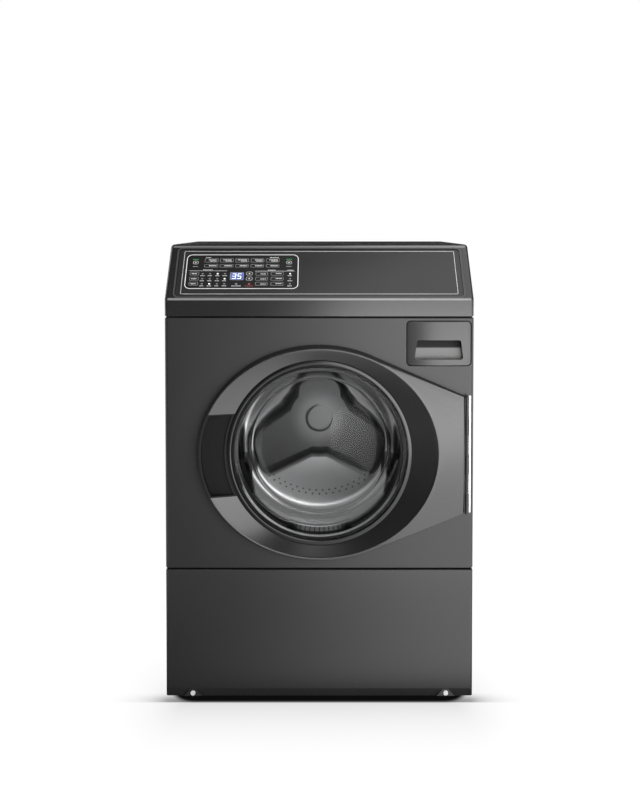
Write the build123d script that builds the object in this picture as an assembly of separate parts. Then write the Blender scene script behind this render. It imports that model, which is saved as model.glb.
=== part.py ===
from build123d import *

import os
from math import acos, atan2, cos, hypot, sin, sqrt

# Front load washing machine, modelled as an assembly of separate pieces, in millimetres.
# +X is the right-hand side seen from the front, +Y runs to the back, and +Z is up.
# The origin is on the floor, under the middle of the machine's overall box.

# Overall sizes
WIDTH = 683.0
HEIGHT = 1024.0
CABINET_DEPTH = 655.0
DOOR_PROUD = 30.0
REAR_PROUD = 20.0
FOOT_GAP = 16.0
SHEET = 1.2
SEAM = 3.0
SIDE_SEAM = 0.6
CLEAR = 0.3
SLIDE_CLEAR = 1.5
FIT_CLEAR = 0.05

FRONT_Y = DOOR_PROUD - (CABINET_DEPTH + DOOR_PROUD + REAR_PROUD) / 2
REAR_Y = FRONT_Y + CABINET_DEPTH
BACK_Y = REAR_Y + REAR_PROUD
HALF = WIDTH / 2
INSIDE = HALF - SHEET

# Levels set down from the top
SLOPE_RISE = 118.0
LIP_RISE = 40.0
BRACE_DROP = 52.0
SPRING_HANG = 20.0
FILL_DROP = 80.0
INLET_DROP = 94.0
DRAWER_DROP = 8.0
DRAWER_SPAN = 101.0
PULL_DROP = 43.0
PULL_SPAN = 43.0
TRAY_RISE = 40.0

LIP_Z = HEIGHT - SLOPE_RISE
CONSOLE_Z = LIP_Z - LIP_RISE
BRACE_Z = HEIGHT - BRACE_DROP
SPRING_TOP_Z = BRACE_Z - SPRING_HANG
FILL_Z = HEIGHT - FILL_DROP
INLET_Z = HEIGHT - INLET_DROP
DRAWER_TOP = CONSOLE_Z - DRAWER_DROP
DRAWER_BOTTOM = DRAWER_TOP - DRAWER_SPAN
PULL_TOP_Z = DRAWER_TOP - PULL_DROP
PULL_BOTTOM_Z = PULL_TOP_Z - PULL_SPAN
TRAY_BOTTOM = DRAWER_BOTTOM + TRAY_RISE

# Front panels
LOWER_Z = 305.0
PANEL_RETURN = 30.0
FLANGE = 18.0
SIDE_RADIUS = 8.0
EDGE_RADIUS = 3.0
TOE_HEIGHT = 21.0
TOE_SETBACK = 9.0
TOE_SCREW_X = 282.0
TOE_SCREW_Z = 25.0
TOE_SCREW_RADIUS = 5.5

# Console
SLOPE_RUN = SLOPE_RISE
CONSOLE_DEPTH = 165.0
CONSOLE_WALL = 2.5
CONSOLE_END_RADIUS = 8.0
LIP_RADIUS = 6.0
RIM_RADIUS = 9.0
RECESS_DEPTH = 3.0
RECESS_HALF = 320.0
RECESS_START = 7.0
RECESS_END = 153.0
RECESS_CORNER = 9.0
OVERLAY_THICK = 1.5
OVERLAY_MARGIN = 1.0
KEY_WIDTH = 15.0
KEY_HEIGHT = 12.0
KEY_PROUD = 0.7
KEY_FLANGE = 1.5
KEY_TRAVEL = 0.5
KEYS = {
    "stop_key": (-280.0, 110.5),
    "start_key": (-68.5, 110.5),
    "up_key": (-157.0, 76.5),
    "down_key": (-157.0, 61.0),
}
DISPLAY = (-185.0, 69.0)
DISPLAY_WIDTH = 30.0
DISPLAY_HEIGHT = 23.0
BOARD = (-174.0, 80.0)
BOARD_WIDTH = 262.0
BOARD_HEIGHT = 110.0
BOARD_THICK = 1.6
BOARD_DROP = 9.0
POST_RADIUS = 4.0
POST_INSET = 8.0

# Top lid and back
LID_HEIGHT = 22.0
LID_RADIUS = 7.0
COVER_WIDTH = 430.0
COVER_HEIGHT = 380.0
COVER_LAP = 16.0
COVER_DISH = 8.0
COVER_SCREW_INSET = 8.0
SCREW_RADIUS = 2.0
SCREW_HOLE = 2.2

# Drum, tub and drive, all on one horizontal axis
AXIS_Z = 566.0
DRUM_RADIUS = 268.0
DRUM_FRONT_Y = -230.0
DRUM_BACK_Y = 160.0
DRUM_SHEET = 1.0
DRUM_MOUTH = 196.0
BAFFLE_COUNT = 3
BAFFLE_TURN = 180.0
BAFFLE_HEIGHT = 62.0
BAFFLE_FOOT = 96.0
BAFFLE_CREST = 34.0
BAFFLE_LENGTH = 330.0
BAFFLE_ROUND = 15.0
BAFFLE_END_ROUND = 8.0
BAFFLE_WALL = 1.2
HOLE_RADIUS = 3.0
HOLE_ROWS = 4
HOLE_COLUMNS = 12
TUB_RADIUS = 290.0
TUB_WALL = 6.0
TUB_FRONT_Y = -247.0
TUB_SPLIT_Y = -100.0
TUB_BACK_Y = 200.0
TUB_MOUTH = 216.0
TUB_FLANGE = 12.0
SHAFT_RADIUS = 15.0
BEARING_RADIUS = 31.0
BEARING_WIDTH = 16.0
BEARING_INSET = 3.0
HUB_RADIUS = 46.0
HUB_BACK_Y = 262.0
HUB_FLANGE = 130.0
SEAL_WIDTH = 8.0
SPIDER_DEPTH = 24.0
SPIDER_ARM = 44.0
PULLEY_RADIUS = 150.0
PULLEY_Y = 268.0
PULLEY_WIDTH = 20.0
BELT_THICK = 4.0
BELT_WIDTH = 16.0
MOTOR_PULLEY_RADIUS = 12.0
MOTOR_X = 140.0
MOTOR_DROP = 340.0
MOTOR_RADIUS = 60.0
MOTOR_LENGTH = 170.0
MOTOR_SHAFT_RADIUS = 8.0
MOTOR_BACK_Y = 248.0

# Door
DOOR_HALF_WIDTH = 266.0
DOOR_HALF_HEIGHT = 234.0
DOOR_EDGE_X = 319.0
DOOR_REST = 4.5
FLAP_FALL = 18.0
FLAP_SPREAD_X = 106.0
FLAP_SPREAD_Z = 132.0
RIM_ROUND = 2.5
RIDGE = 4.0
FUNNEL_RADIUS = 205.0
FUNNEL_PROUD = 11.0
DOOR_WALL = 4.0
FRAME_MARGIN = 1.5
FRAME_THICK = 2.5
BEZEL_INNER = 194.0
GLASS_FLANGE = 203.0
GLASS_THICK = 4.0
GLASS_ROOT = 187.0
GLASS_END = 148.0
GLASS_DEPTH = 100.0
GLASS_ROUND = 26.0
HANDLE_HEIGHT = 183.0
HANDLE_Z = -4.0
HANDLE_WALL = 2.5
HINGE_X = 325.0
HINGE_PROUD = 13.0
HINGE_HEIGHT = 259.0
HINGE_DROP = 4.0
KNUCKLES = 6
KNUCKLE_RADIUS = 4.5
PIN_RADIUS = 2.5
LEAF = 1.5
DOOR_HOLE = 205.0
STRIKE_X = -247.0
STRIKE_WIDTH = 5.0
STRIKE_HEIGHT = 20.0
STRIKE_REACH = 30.0
STRIKE_EYE = 5.0
BOLT_RADIUS = 3.5
LOCK_WIDTH = 44.0
LOCK_HEIGHT = 84.0
LOCK_DEPTH = 46.0

# Dispenser
DRAWER_LEFT = 192.0
DRAWER_RIGHT = 336.0
DRAWER_GAP = 1.5
DRAWER_CORNER = 10.0
DRAWER_BULGE = 7.0
DRAWER_BLOCK = 26.0
PULL_TOP_WIDTH = 96.0
PULL_BOTTOM_WIDTH = 108.0
PULL_DEPTH = 22.0
TRAY_LEFT = 226.0
TRAY_LENGTH = 226.0
TRAY_WALL = 2.0
TRAY_MARGIN = 4.0
HOUSING_WALL = 2.0

# Suspension
SPRING_X = 268.0
SPRING_Y = -20.0
SPRING_RADIUS = 16.0
SPRING_BOTTOM_Z = 752.0
WIRE_RADIUS = 2.2
EAR_Z = 714.0
EAR_THICK = 8.0
BRACE_HEIGHT = 24.0
BRACE_WIDTH = 44.0
DAMPER_X = 205.0
DAMPER_Y = 20.0
DAMPER_RADIUS = 16.0
DAMPER_BOTTOM_Z = 64.0
DAMPER_TOP_Z = 196.0
ROD_RADIUS = 7.0
ROD_BOTTOM_Z = 110.0
LUG_Z = 346.0
BLOCK_HALF = 160.0
BLOCK_FRONT_Y = -84.0
BLOCK_BACK_Y = 64.0
BLOCK_TOP_Z = 912.0

# Base, feet and water parts
BASE_WALL = 2.0
BASE_HEIGHT = 44.0
FOOT_INSET = 44.0
FOOT_RADIUS = 19.0
FOOT_PAD = 9.0
STUD_RADIUS = 5.0
STUD_TOP = 46.0
NUT_RADIUS = 9.0
NUT_HEIGHT = 5.0
INLET_X = (-250.0, -196.0)
INLET_RADIUS = 13.4
INLET_LENGTH = 16.0
INLET_BORE = 9.0
PORT_GAP = 2.0
VALVE_DEPTH = 62.0
FILL_RADIUS = 9.0
FILL_WALL = 2.5
FILL_PORTS_X = (238.0, 306.0)
FILL_PORT_Y = -124.0
FILL_BEND = 40.0
PUMP_X = -130.0
PUMP_Y = 10.0
PUMP_Z = 104.0
PUMP_RADIUS = 42.0
PUMP_WALL = 4.0
PUMP_LENGTH = 56.0
IMPELLER_RADIUS = 30.0
SUMP_Y = 60.0
SUMP_RADIUS = 22.0
SUMP_WALL = 3.0
SUMP_SPIGOT_Z = 250.0
PUMP_SPIGOT_Z = 168.0
OUTLET_X = -250.0
OUTLET_Z = 210.0
OUTLET_RADIUS = 12.7
OUTLET_LENGTH = 18.0
OUTLET_BORE = 9.5
DRAIN_RADIUS = 16.0
GLAND_X = -250.0
GLAND_Z = 840.0
GLAND_RADIUS = 11.0
GLAND_BORE = 5.2
GLAND_LENGTH = 16.0
GLAND_COLLAR = 14.0
GLAND_LIP = 4.0
GLAND_RELIEF = 2.0
SOAP_X = 306.0
SOAP_Y = -140.0
SOAP_RADIUS = 15.0
SOAP_WALL = 3.0
SOAP_TUB_Z = 640.0

# Gasket
GASKET_LIP = 191.0
GASKET_WALL = 4.0
GASKET_FOLD = 226.0
GASKET_WAIST = 208.0


def front_plane(y):
    """A sketch plane facing the front at this y: its axes are X and Z, and it extrudes forwards."""
    return Plane(origin=(0, y, 0), x_dir=(1, 0, 0), z_dir=(0, -1, 0))


def door_plane(y):
    """The front plane at this y with its origin on the drum's axis."""
    return Plane(origin=(0, y, AXIS_Z), x_dir=(1, 0, 0), z_dir=(0, -1, 0))


def block(x0, x1, y0, y1, z0, z1):
    """A box between two corners."""
    return Pos((x0 + x1) / 2, (y0 + y1) / 2, (z0 + z1) / 2) * Box(x1 - x0, y1 - y0, z1 - z0)


def rod_y(x, z, radius, y0, y1):
    """A cylinder along Y."""
    return extrude(front_plane(y1) * Pos(x, z) * Circle(radius), amount=y1 - y0)


def rod_z(x, y, radius, z0, z1):
    """A cylinder along Z."""
    return extrude(Plane.XY.offset(z0) * Pos(x, y) * Circle(radius), amount=z1 - z0)


def ring_y(outer, inner, y0, y1, x=0.0, z=AXIS_Z):
    """A tube along Y."""
    face = front_plane(y1) * Pos(x, z) * (Circle(outer) - Circle(inner))
    return extrude(face, amount=y1 - y0)


def turned(points):
    """A solid of revolution about the drum's axis, from (radius, y) points."""
    plane = Plane(origin=(0, 0, AXIS_Z), x_dir=(1, 0, 0), z_dir=(0, 0, 1))
    return revolve(plane * Polygon(*points, align=None), Axis((0, 0, AXIS_Z), (0, 1, 0)))


def side_profile(points, half_width):
    """A (y, z) outline extruded to both sides of the middle."""
    return extrude(Plane.YZ * Polygon(*points, align=None), amount=half_width, both=True)


def tube(points, radius, wall, bend):
    """A hollow tube along straight runs joined by arcs."""
    path = FilletPolyline(*points, radius=bend)
    section = Plane(origin=path @ 0, z_dir=path % 0)
    return sweep(section * (Circle(radius) - Circle(radius - wall)), path=path)


def slope_plane(offset=0.0):
    """The console's sloping face: x across, y up the slope from the lip, lifted by offset."""
    length = hypot(SLOPE_RUN, HEIGHT - LIP_Z)
    up = Vector(0, SLOPE_RUN, HEIGHT - LIP_Z) / length
    out = Vector(0, -(HEIGHT - LIP_Z), SLOPE_RUN) / length
    return Plane(origin=Vector(0, FRONT_Y, LIP_Z) + out * offset, x_dir=(1, 0, 0), z_dir=out)


def on_slope(place, width, height, low, high, corner=0.0):
    """A rectangular pad standing on the slope between two heights above it."""
    shape = RectangleRounded(width, height, corner) if corner else Rectangle(width, height)
    return extrude(slope_plane(low) * Pos(*place) * shape, amount=high - low)


def save(name, *solids):
    """Writes one node's solids to its STEP file."""
    found = [s for solid in solids for s in solid.solids()]
    export_step(found[0] if len(found) == 1 else Compound(children=found), f"parts/{name}.step")


# Cabinet sheet metal


def cabinet_wrap():
    """Both sides and the back, bent from one sheet, with front flanges for the front panels."""
    top = HEIGHT - LID_HEIGHT - SIDE_SEAM
    start = FRONT_Y + PANEL_RETURN + SIDE_SEAM
    outer = block(-HALF, HALF, start, REAR_Y, FOOT_GAP, top)
    wrap = outer - block(-INSIDE, INSIDE, start - 1, REAR_Y - SHEET, FOOT_GAP - 1, top + 1)
    console_back = FRONT_Y + CONSOLE_DEPTH + SIDE_SEAM
    wrap -= block(-WIDTH, WIDTH, start - 1, console_back, CONSOLE_Z + SEAM / 2 - SIDE_SEAM, top + 1)
    for side in (-1, 1):
        x0, x1 = sorted((side * (INSIDE - FLANGE), side * (INSIDE + SHEET / 2)))
        wrap += block(x0, x1, start, start + SHEET, FOOT_GAP, DRAWER_BOTTOM - FLANGE)
    wrap -= block(
        -COVER_WIDTH / 2 + COVER_LAP, COVER_WIDTH / 2 - COVER_LAP, REAR_Y - 5, REAR_Y + 1,
        AXIS_Z - COVER_HEIGHT / 2 + COVER_LAP, AXIS_Z + COVER_HEIGHT / 2 - COVER_LAP,
    )
    for x in INLET_X:
        wrap -= rod_y(x, INLET_Z, INLET_RADIUS + PORT_GAP, REAR_Y - 5, REAR_Y + 1)
    wrap -= rod_y(OUTLET_X, OUTLET_Z, OUTLET_RADIUS + PORT_GAP, REAR_Y - 5, REAR_Y + 1)
    wrap -= rod_y(GLAND_X, GLAND_Z, GLAND_RADIUS + CLEAR, REAR_Y - 5, REAR_Y + 1)
    for x, z in cover_screw_places():
        wrap -= rod_y(x, z, SCREW_HOLE, REAR_Y - 5, REAR_Y + 1)
    return wrap


def base_frame():
    """A pressed pan with a wide opening in its floor and a hole for each foot's stud."""
    side = INSIDE - CLEAR
    front = FRONT_Y + PANEL_RETURN + SEAM
    back = REAR_Y - SHEET - CLEAR
    bottom = FOOT_GAP
    pan = block(-side, side, front, back, bottom, bottom + BASE_HEIGHT)
    pan -= block(
        -side + BASE_WALL, side - BASE_WALL, front + BASE_WALL, back - BASE_WALL,
        bottom + BASE_WALL, bottom + BASE_HEIGHT + 1,
    )
    pan -= block(-side / 4, side / 4, FRONT_Y + 130, -50, bottom - 1, bottom + BASE_WALL + 1)
    pan -= block(-side / 4, side / 4, 80, REAR_Y - 90, bottom - 1, bottom + BASE_WALL + 1)
    for x, y in foot_places():
        pan -= rod_z(x, y, STUD_RADIUS + CLEAR, bottom - 1, bottom + BASE_WALL + 1)
    return pan


def foot_places():
    """Where the four feet stand."""
    x = HALF - FOOT_INSET
    front = FRONT_Y + PANEL_RETURN + FOOT_INSET
    back = REAR_Y - FOOT_INSET
    return [(-x, front), (x, front), (-x, back), (x, back)]


def leveling_feet():
    """Four screw feet: a pad, a stud and the nut that locks it to the base."""
    feet = []
    for x, y in foot_places():
        pad = rod_z(x, y, FOOT_RADIUS, 0, FOOT_PAD)
        pad = fillet(pad.edges().filter_by(GeomType.CIRCLE), 2.0)
        stud = rod_z(x, y, STUD_RADIUS, 0, STUD_TOP)
        nut = extrude(
            Plane.XY.offset(FOOT_GAP - NUT_HEIGHT) * Pos(x, y) * RegularPolygon(NUT_RADIUS, 6),
            amount=NUT_HEIGHT,
        )
        feet.append(pad + stud + nut)
    return feet


def rear_access_cover():
    """A dished cover over the belt opening, lapped on the back."""
    plate_y = REAR_Y + SHEET
    plate = extrude(
        door_plane(plate_y) * RectangleRounded(COVER_WIDTH, COVER_HEIGHT, 12), amount=SHEET
    )
    rim = 2 * COVER_LAP + 2 * COVER_DISH
    dish = extrude(
        door_plane(REAR_Y) * RectangleRounded(COVER_WIDTH - rim, COVER_HEIGHT - rim, 14),
        amount=-(COVER_DISH + SHEET), taper=30,
    )
    hollow = extrude(
        door_plane(REAR_Y - 1)
        * RectangleRounded(COVER_WIDTH - rim - 2 * SHEET, COVER_HEIGHT - rim - 2 * SHEET, 14),
        amount=-(COVER_DISH + 1), taper=30,
    )
    cover = plate + dish - hollow
    for x, z in cover_screw_places():
        cover -= rod_y(x, z, SCREW_HOLE, REAR_Y - 1, REAR_Y + SHEET + 1)
    return cover


def cover_screw_places():
    """Six screws round the access cover's lap."""
    x = COVER_WIDTH / 2 - COVER_SCREW_INSET
    z = COVER_HEIGHT / 2 - COVER_SCREW_INSET
    return [(sx * x, AXIS_Z + sz * z) for sx in (-1, 1) for sz in (-1, 0, 1)]


def panel_screws():
    """The hexagon-head screws that hold the access cover."""
    screws = []
    for x, z in cover_screw_places():
        head_y = REAR_Y + SHEET
        head = extrude(front_plane(head_y) * Pos(x, z) * RegularPolygon(4.6, 6), amount=-3.2)
        washer = rod_y(x, z, 6.0, head_y, head_y + 1.0)
        screws.append(head + washer + rod_y(x, z, SCREW_RADIUS, REAR_Y - 6, head_y))
    return screws


def top_panel():
    """A drawn steel lid with a turned-down skirt."""
    front = FRONT_Y + CONSOLE_DEPTH + SIDE_SEAM
    lid = block(-HALF, HALF, front, REAR_Y, HEIGHT - LID_HEIGHT, HEIGHT)
    upright = lid.edges().filter_by(Axis.Z).group_by(Axis.Y)[-1]
    lid = fillet(upright, LID_RADIUS)
    top = lid.faces().sort_by(Axis.Z)[-1]
    front_edge = top.edges().sort_by(Axis.Y)[0]
    lid = fillet([e for e in top.edges() if e.center() != front_edge.center()], LID_RADIUS)
    inner = block(
        -INSIDE, INSIDE, front + SHEET, REAR_Y - SHEET,
        HEIGHT - LID_HEIGHT - 1, HEIGHT - LID_RADIUS,
    )
    inner += block(
        -INSIDE + LID_RADIUS, INSIDE - LID_RADIUS, front + SHEET, REAR_Y - SHEET - LID_RADIUS,
        HEIGHT - LID_RADIUS - 1, HEIGHT - SHEET,
    )
    return lid - inner


def front_skin(bottom, top):
    """An open-backed pressed panel with rounded edges, as wide as the machine."""
    skin = block(-HALF, HALF, FRONT_Y, FRONT_Y + PANEL_RETURN, bottom, top)
    front = skin.faces().sort_by(Axis.Y)[0]
    skin = fillet(front.edges().filter_by(Axis.Z), SIDE_RADIUS)
    front = skin.faces().sort_by(Axis.Y)[0]
    skin = fillet(front.edges().filter_by(Axis.X), EDGE_RADIUS)
    inner = block(
        -INSIDE + SIDE_RADIUS / 2, INSIDE - SIDE_RADIUS / 2, FRONT_Y + SHEET, FRONT_Y + PANEL_RETURN + 1,
        bottom + EDGE_RADIUS, top - EDGE_RADIUS,
    )
    inner += block(
        -INSIDE, INSIDE, FRONT_Y + SIDE_RADIUS, FRONT_Y + PANEL_RETURN + 1,
        bottom + EDGE_RADIUS, top - EDGE_RADIUS,
    )
    return skin - inner


def front_panel():
    """The upper front with the door hole, the drawer hole and the lock's slot."""
    panel = front_skin(LOWER_Z + SEAM / 2, CONSOLE_Z - SEAM / 2)
    panel -= rod_y(0, AXIS_Z, DOOR_HOLE, FRONT_Y - 1, FRONT_Y + SHEET + 1)
    panel += ring_y(DOOR_HOLE + SHEET, DOOR_HOLE, FRONT_Y, FRONT_Y + 14)
    drawer_hole = RectangleRounded(DRAWER_RIGHT - DRAWER_LEFT, DRAWER_TOP - DRAWER_BOTTOM, DRAWER_CORNER)
    centre = Pos((DRAWER_LEFT + DRAWER_RIGHT) / 2, (DRAWER_BOTTOM + DRAWER_TOP) / 2)
    panel -= extrude(front_plane(FRONT_Y - 1) * centre * drawer_hole, amount=-(DRAWER_BLOCK + 2))
    slot = STRIKE_WIDTH / 2 + 5
    rise = STRIKE_HEIGHT / 2 + 4
    panel -= block(
        STRIKE_X - slot, STRIKE_X + slot, FRONT_Y - 1, FRONT_Y + SHEET + 1, AXIS_Z - rise, AXIS_Z + rise
    )
    return panel


def toe_boss(x):
    """A pressed three-sided boss that gives a toe screw a flat seat."""
    outline = Polygon(
        (x - 20, FOOT_GAP + 2), (x + 20, FOOT_GAP + 2),
        (x + 6, TOE_SCREW_Z + 8), (x - 6, TOE_SCREW_Z + 8), align=None,
    )
    return extrude(front_plane(FRONT_Y + TOE_SETBACK + 1) * outline, amount=TOE_SETBACK - 1)


def lower_front_panel():
    """The lower service panel, whose bottom edge turns back to a toe."""
    top = LOWER_Z - SEAM / 2
    skin = front_skin(FOOT_GAP, top)
    toe = [
        (FRONT_Y - 1, FOOT_GAP - 1), (FRONT_Y + TOE_SETBACK, FOOT_GAP - 1),
        (FRONT_Y + TOE_SETBACK, FOOT_GAP), (FRONT_Y, FOOT_GAP + TOE_HEIGHT),
        (FRONT_Y - 1, FOOT_GAP + TOE_HEIGHT),
    ]
    lining = [
        (FRONT_Y + SHEET / 2, FOOT_GAP + TOE_HEIGHT), (FRONT_Y + TOE_SETBACK, FOOT_GAP + EDGE_RADIUS / 2),
        (FRONT_Y + TOE_SETBACK + 4, FOOT_GAP + EDGE_RADIUS / 2),
        (FRONT_Y + SHEET + 4, FOOT_GAP + TOE_HEIGHT + 3),
    ]
    panel = skin + side_profile(lining, INSIDE - SIDE_RADIUS / 2)
    panel -= side_profile(toe, WIDTH)
    for x in (-TOE_SCREW_X, TOE_SCREW_X):
        panel += toe_boss(x)
        panel -= rod_y(x, TOE_SCREW_Z, SCREW_HOLE, FRONT_Y - 1, FRONT_Y + PANEL_RETURN)
    return panel


def lower_panel_screws():
    """Two white domed screws at the toe of the lower panel."""
    screws = []
    for x in (-TOE_SCREW_X, TOE_SCREW_X):
        head = rod_y(x, TOE_SCREW_Z, TOE_SCREW_RADIUS, FRONT_Y - 1.2, FRONT_Y + 2.0)
        head = fillet(head.edges().group_by(Axis.Y)[0], 1.2)
        screws.append(head + rod_y(x, TOE_SCREW_Z, SCREW_RADIUS, FRONT_Y + 1, FRONT_Y + 24))
    return screws


# Console


def console_outline(setback):
    """The console's side outline, drawn in by a wall and opened below and behind if setback is set."""
    rise = HEIGHT - LIP_Z
    bottom = CONSOLE_Z + SEAM / 2
    if not setback:
        return [
            (FRONT_Y, bottom), (FRONT_Y, LIP_Z), (FRONT_Y + SLOPE_RUN, HEIGHT),
            (FRONT_Y + CONSOLE_DEPTH, HEIGHT), (FRONT_Y + CONSOLE_DEPTH, bottom),
        ]
    drop = (setback + RECESS_DEPTH) * hypot(SLOPE_RUN, rise) / SLOPE_RUN
    ceiling = HEIGHT - setback
    ceiling_y = FRONT_Y + (ceiling - LIP_Z + drop) * SLOPE_RUN / rise
    shoulder = LIP_Z + setback * rise / SLOPE_RUN - drop
    open_y = FRONT_Y + CONSOLE_DEPTH + 1
    return [
        (FRONT_Y + setback, bottom - 1), (FRONT_Y + setback, shoulder), (ceiling_y, ceiling),
        (open_y, ceiling), (open_y, bottom - 1),
    ]


def console_housing():
    """The moulded console with a shallow recess for the overlay, key holes and board posts."""
    body = side_profile(console_outline(0), HALF)
    crossing = body.edges().filter_by(Axis.X)
    lip = [e for e in crossing if abs(e.center().Y - FRONT_Y) < 1 and abs(e.center().Z - LIP_Z) < 1]
    body = fillet(lip, LIP_RADIUS)
    crossing = body.edges().filter_by(Axis.X)
    rim = [
        e for e in crossing
        if abs(e.center().Y - FRONT_Y - SLOPE_RUN) < 1 and abs(e.center().Z - HEIGHT) < 1
    ]
    body = fillet(rim, RIM_RADIUS)
    ends = [
        e for face in (body.faces().sort_by(Axis.X)[0], body.faces().sort_by(Axis.X)[-1])
        for e in face.edges()
        if e.center().Z > CONSOLE_Z + 5 and e.center().Y < FRONT_Y + CONSOLE_DEPTH - 1
    ]
    body = fillet(ends, CONSOLE_END_RADIUS)
    middle = (RECESS_START + RECESS_END) / 2
    length = RECESS_END - RECESS_START
    recess = on_slope((0, middle), 2 * RECESS_HALF, length, -RECESS_DEPTH, 20, RECESS_CORNER)
    body -= recess
    body -= side_profile(console_outline(CONSOLE_WALL), HALF - CONSOLE_WALL - CONSOLE_END_RADIUS / 2)
    floor = -RECESS_DEPTH
    under = floor - CONSOLE_WALL
    for x in (-1, 1):
        for y in (-1, 1):
            place = (
                BOARD[0] + x * (BOARD_WIDTH / 2 - POST_INSET), BOARD[1] + y * (BOARD_HEIGHT / 2 - POST_INSET)
            )
            post = slope_plane(under - BOARD_DROP) * Pos(*place) * Circle(POST_RADIUS)
            body += extrude(post, amount=BOARD_DROP + 1)
    for place in KEYS.values():
        body -= on_slope(place, KEY_WIDTH + 2 * CLEAR, KEY_HEIGHT + 2 * CLEAR, under - 1, floor + 1, 2)
    body -= on_slope(DISPLAY, DISPLAY_WIDTH - 4, DISPLAY_HEIGHT - 4, under - 1, floor + 1)
    return body


def control_overlay():
    """The printed overlay plate in the console's recess, holed for the display and the keys."""
    middle = (RECESS_START + RECESS_END) / 2
    low, high = -RECESS_DEPTH, OVERLAY_THICK - RECESS_DEPTH
    plate = on_slope(
        (0, middle), 2 * (RECESS_HALF - OVERLAY_MARGIN), RECESS_END - RECESS_START - 2 * OVERLAY_MARGIN,
        low, high, RECESS_CORNER - OVERLAY_MARGIN,
    )
    for place in KEYS.values():
        plate -= on_slope(place, KEY_WIDTH + 2 * CLEAR, KEY_HEIGHT + 2 * CLEAR, low - 1, high + 1, 2)
    width, height = DISPLAY_WIDTH + 2 * FIT_CLEAR, DISPLAY_HEIGHT + 2 * FIT_CLEAR
    return plate - on_slope(DISPLAY, width, height, low - 1, high + 1, 2)


def display_window():
    """The display's clear window, set flush in the overlay."""
    low = -RECESS_DEPTH
    return on_slope(DISPLAY, DISPLAY_WIDTH, DISPLAY_HEIGHT, low, low + OVERLAY_THICK, 2)


def control_board():
    """The circuit board under the overlay, with a switch under each key and the display module."""
    under = -RECESS_DEPTH - CONSOLE_WALL
    top = under - BOARD_DROP
    board = on_slope(BOARD, BOARD_WIDTH, BOARD_HEIGHT, top - BOARD_THICK, top)
    switch_top = under - KEY_FLANGE - KEY_TRAVEL - CLEAR
    for place in KEYS.values():
        board += on_slope(place, 6, 6, top - 0.5, switch_top)
    return board + on_slope(DISPLAY, DISPLAY_WIDTH - 6, DISPLAY_HEIGHT - 6, top - 0.5, under - CLEAR)


def key(place):
    """A push key: a cap through the overlay and the console wall, held by a flange behind the wall."""
    under = -RECESS_DEPTH - CONSOLE_WALL
    top = OVERLAY_THICK - RECESS_DEPTH + KEY_PROUD
    cap = on_slope(place, KEY_WIDTH, KEY_HEIGHT, under - FIT_CLEAR, top, 2)
    flange = on_slope(
        place, KEY_WIDTH + 3, KEY_HEIGHT + 2, under - FIT_CLEAR - KEY_FLANGE, under - FIT_CLEAR
    )
    return cap + flange


# Tub, drum and drive


def tub_rear():
    """The rear half of the tub: a shell with a back wall, spring ears, damper lugs and the sump spigot."""
    shell = turned([
        (TUB_RADIUS - TUB_WALL, TUB_SPLIT_Y), (TUB_RADIUS + TUB_FLANGE, TUB_SPLIT_Y),
        (TUB_RADIUS + TUB_FLANGE, TUB_SPLIT_Y + 6), (TUB_RADIUS, TUB_SPLIT_Y + 6), (TUB_RADIUS, TUB_BACK_Y),
        (HUB_RADIUS + CLEAR, TUB_BACK_Y), (HUB_RADIUS + CLEAR, TUB_BACK_Y - 8),
        (TUB_RADIUS - TUB_WALL, TUB_BACK_Y - 8),
    ])
    keep_out = rod_y(0, AXIS_Z, TUB_RADIUS - 1, TUB_SPLIT_Y, TUB_BACK_Y)
    for side in (-1, 1):
        ear = block(
            side * SPRING_X - 14, side * SPRING_X + 14, SPRING_Y - EAR_THICK / 2, SPRING_Y + EAR_THICK / 2,
            EAR_Z - 44, EAR_Z,
        )
        lug = block(
            side * DAMPER_X - 14, side * DAMPER_X + 14, DAMPER_Y - 14, DAMPER_Y + 14, LUG_Z, LUG_Z + 50
        )
        shell += (ear + lug) - keep_out
    sump = rod_z(0, SUMP_Y, SUMP_RADIUS, SUMP_SPIGOT_Z, AXIS_Z - TUB_RADIUS + 8)
    bore = rod_z(0, SUMP_Y, SUMP_RADIUS - SUMP_WALL, SUMP_SPIGOT_Z - 1, AXIS_Z - TUB_RADIUS + TUB_WALL + 3)
    return shell + (sump - keep_out_inside()) - bore


def keep_out_inside():
    """The room inside the tub's wall."""
    return rod_y(0, AXIS_Z, TUB_RADIUS - TUB_WALL, TUB_FRONT_Y, TUB_BACK_Y - 8)


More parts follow.
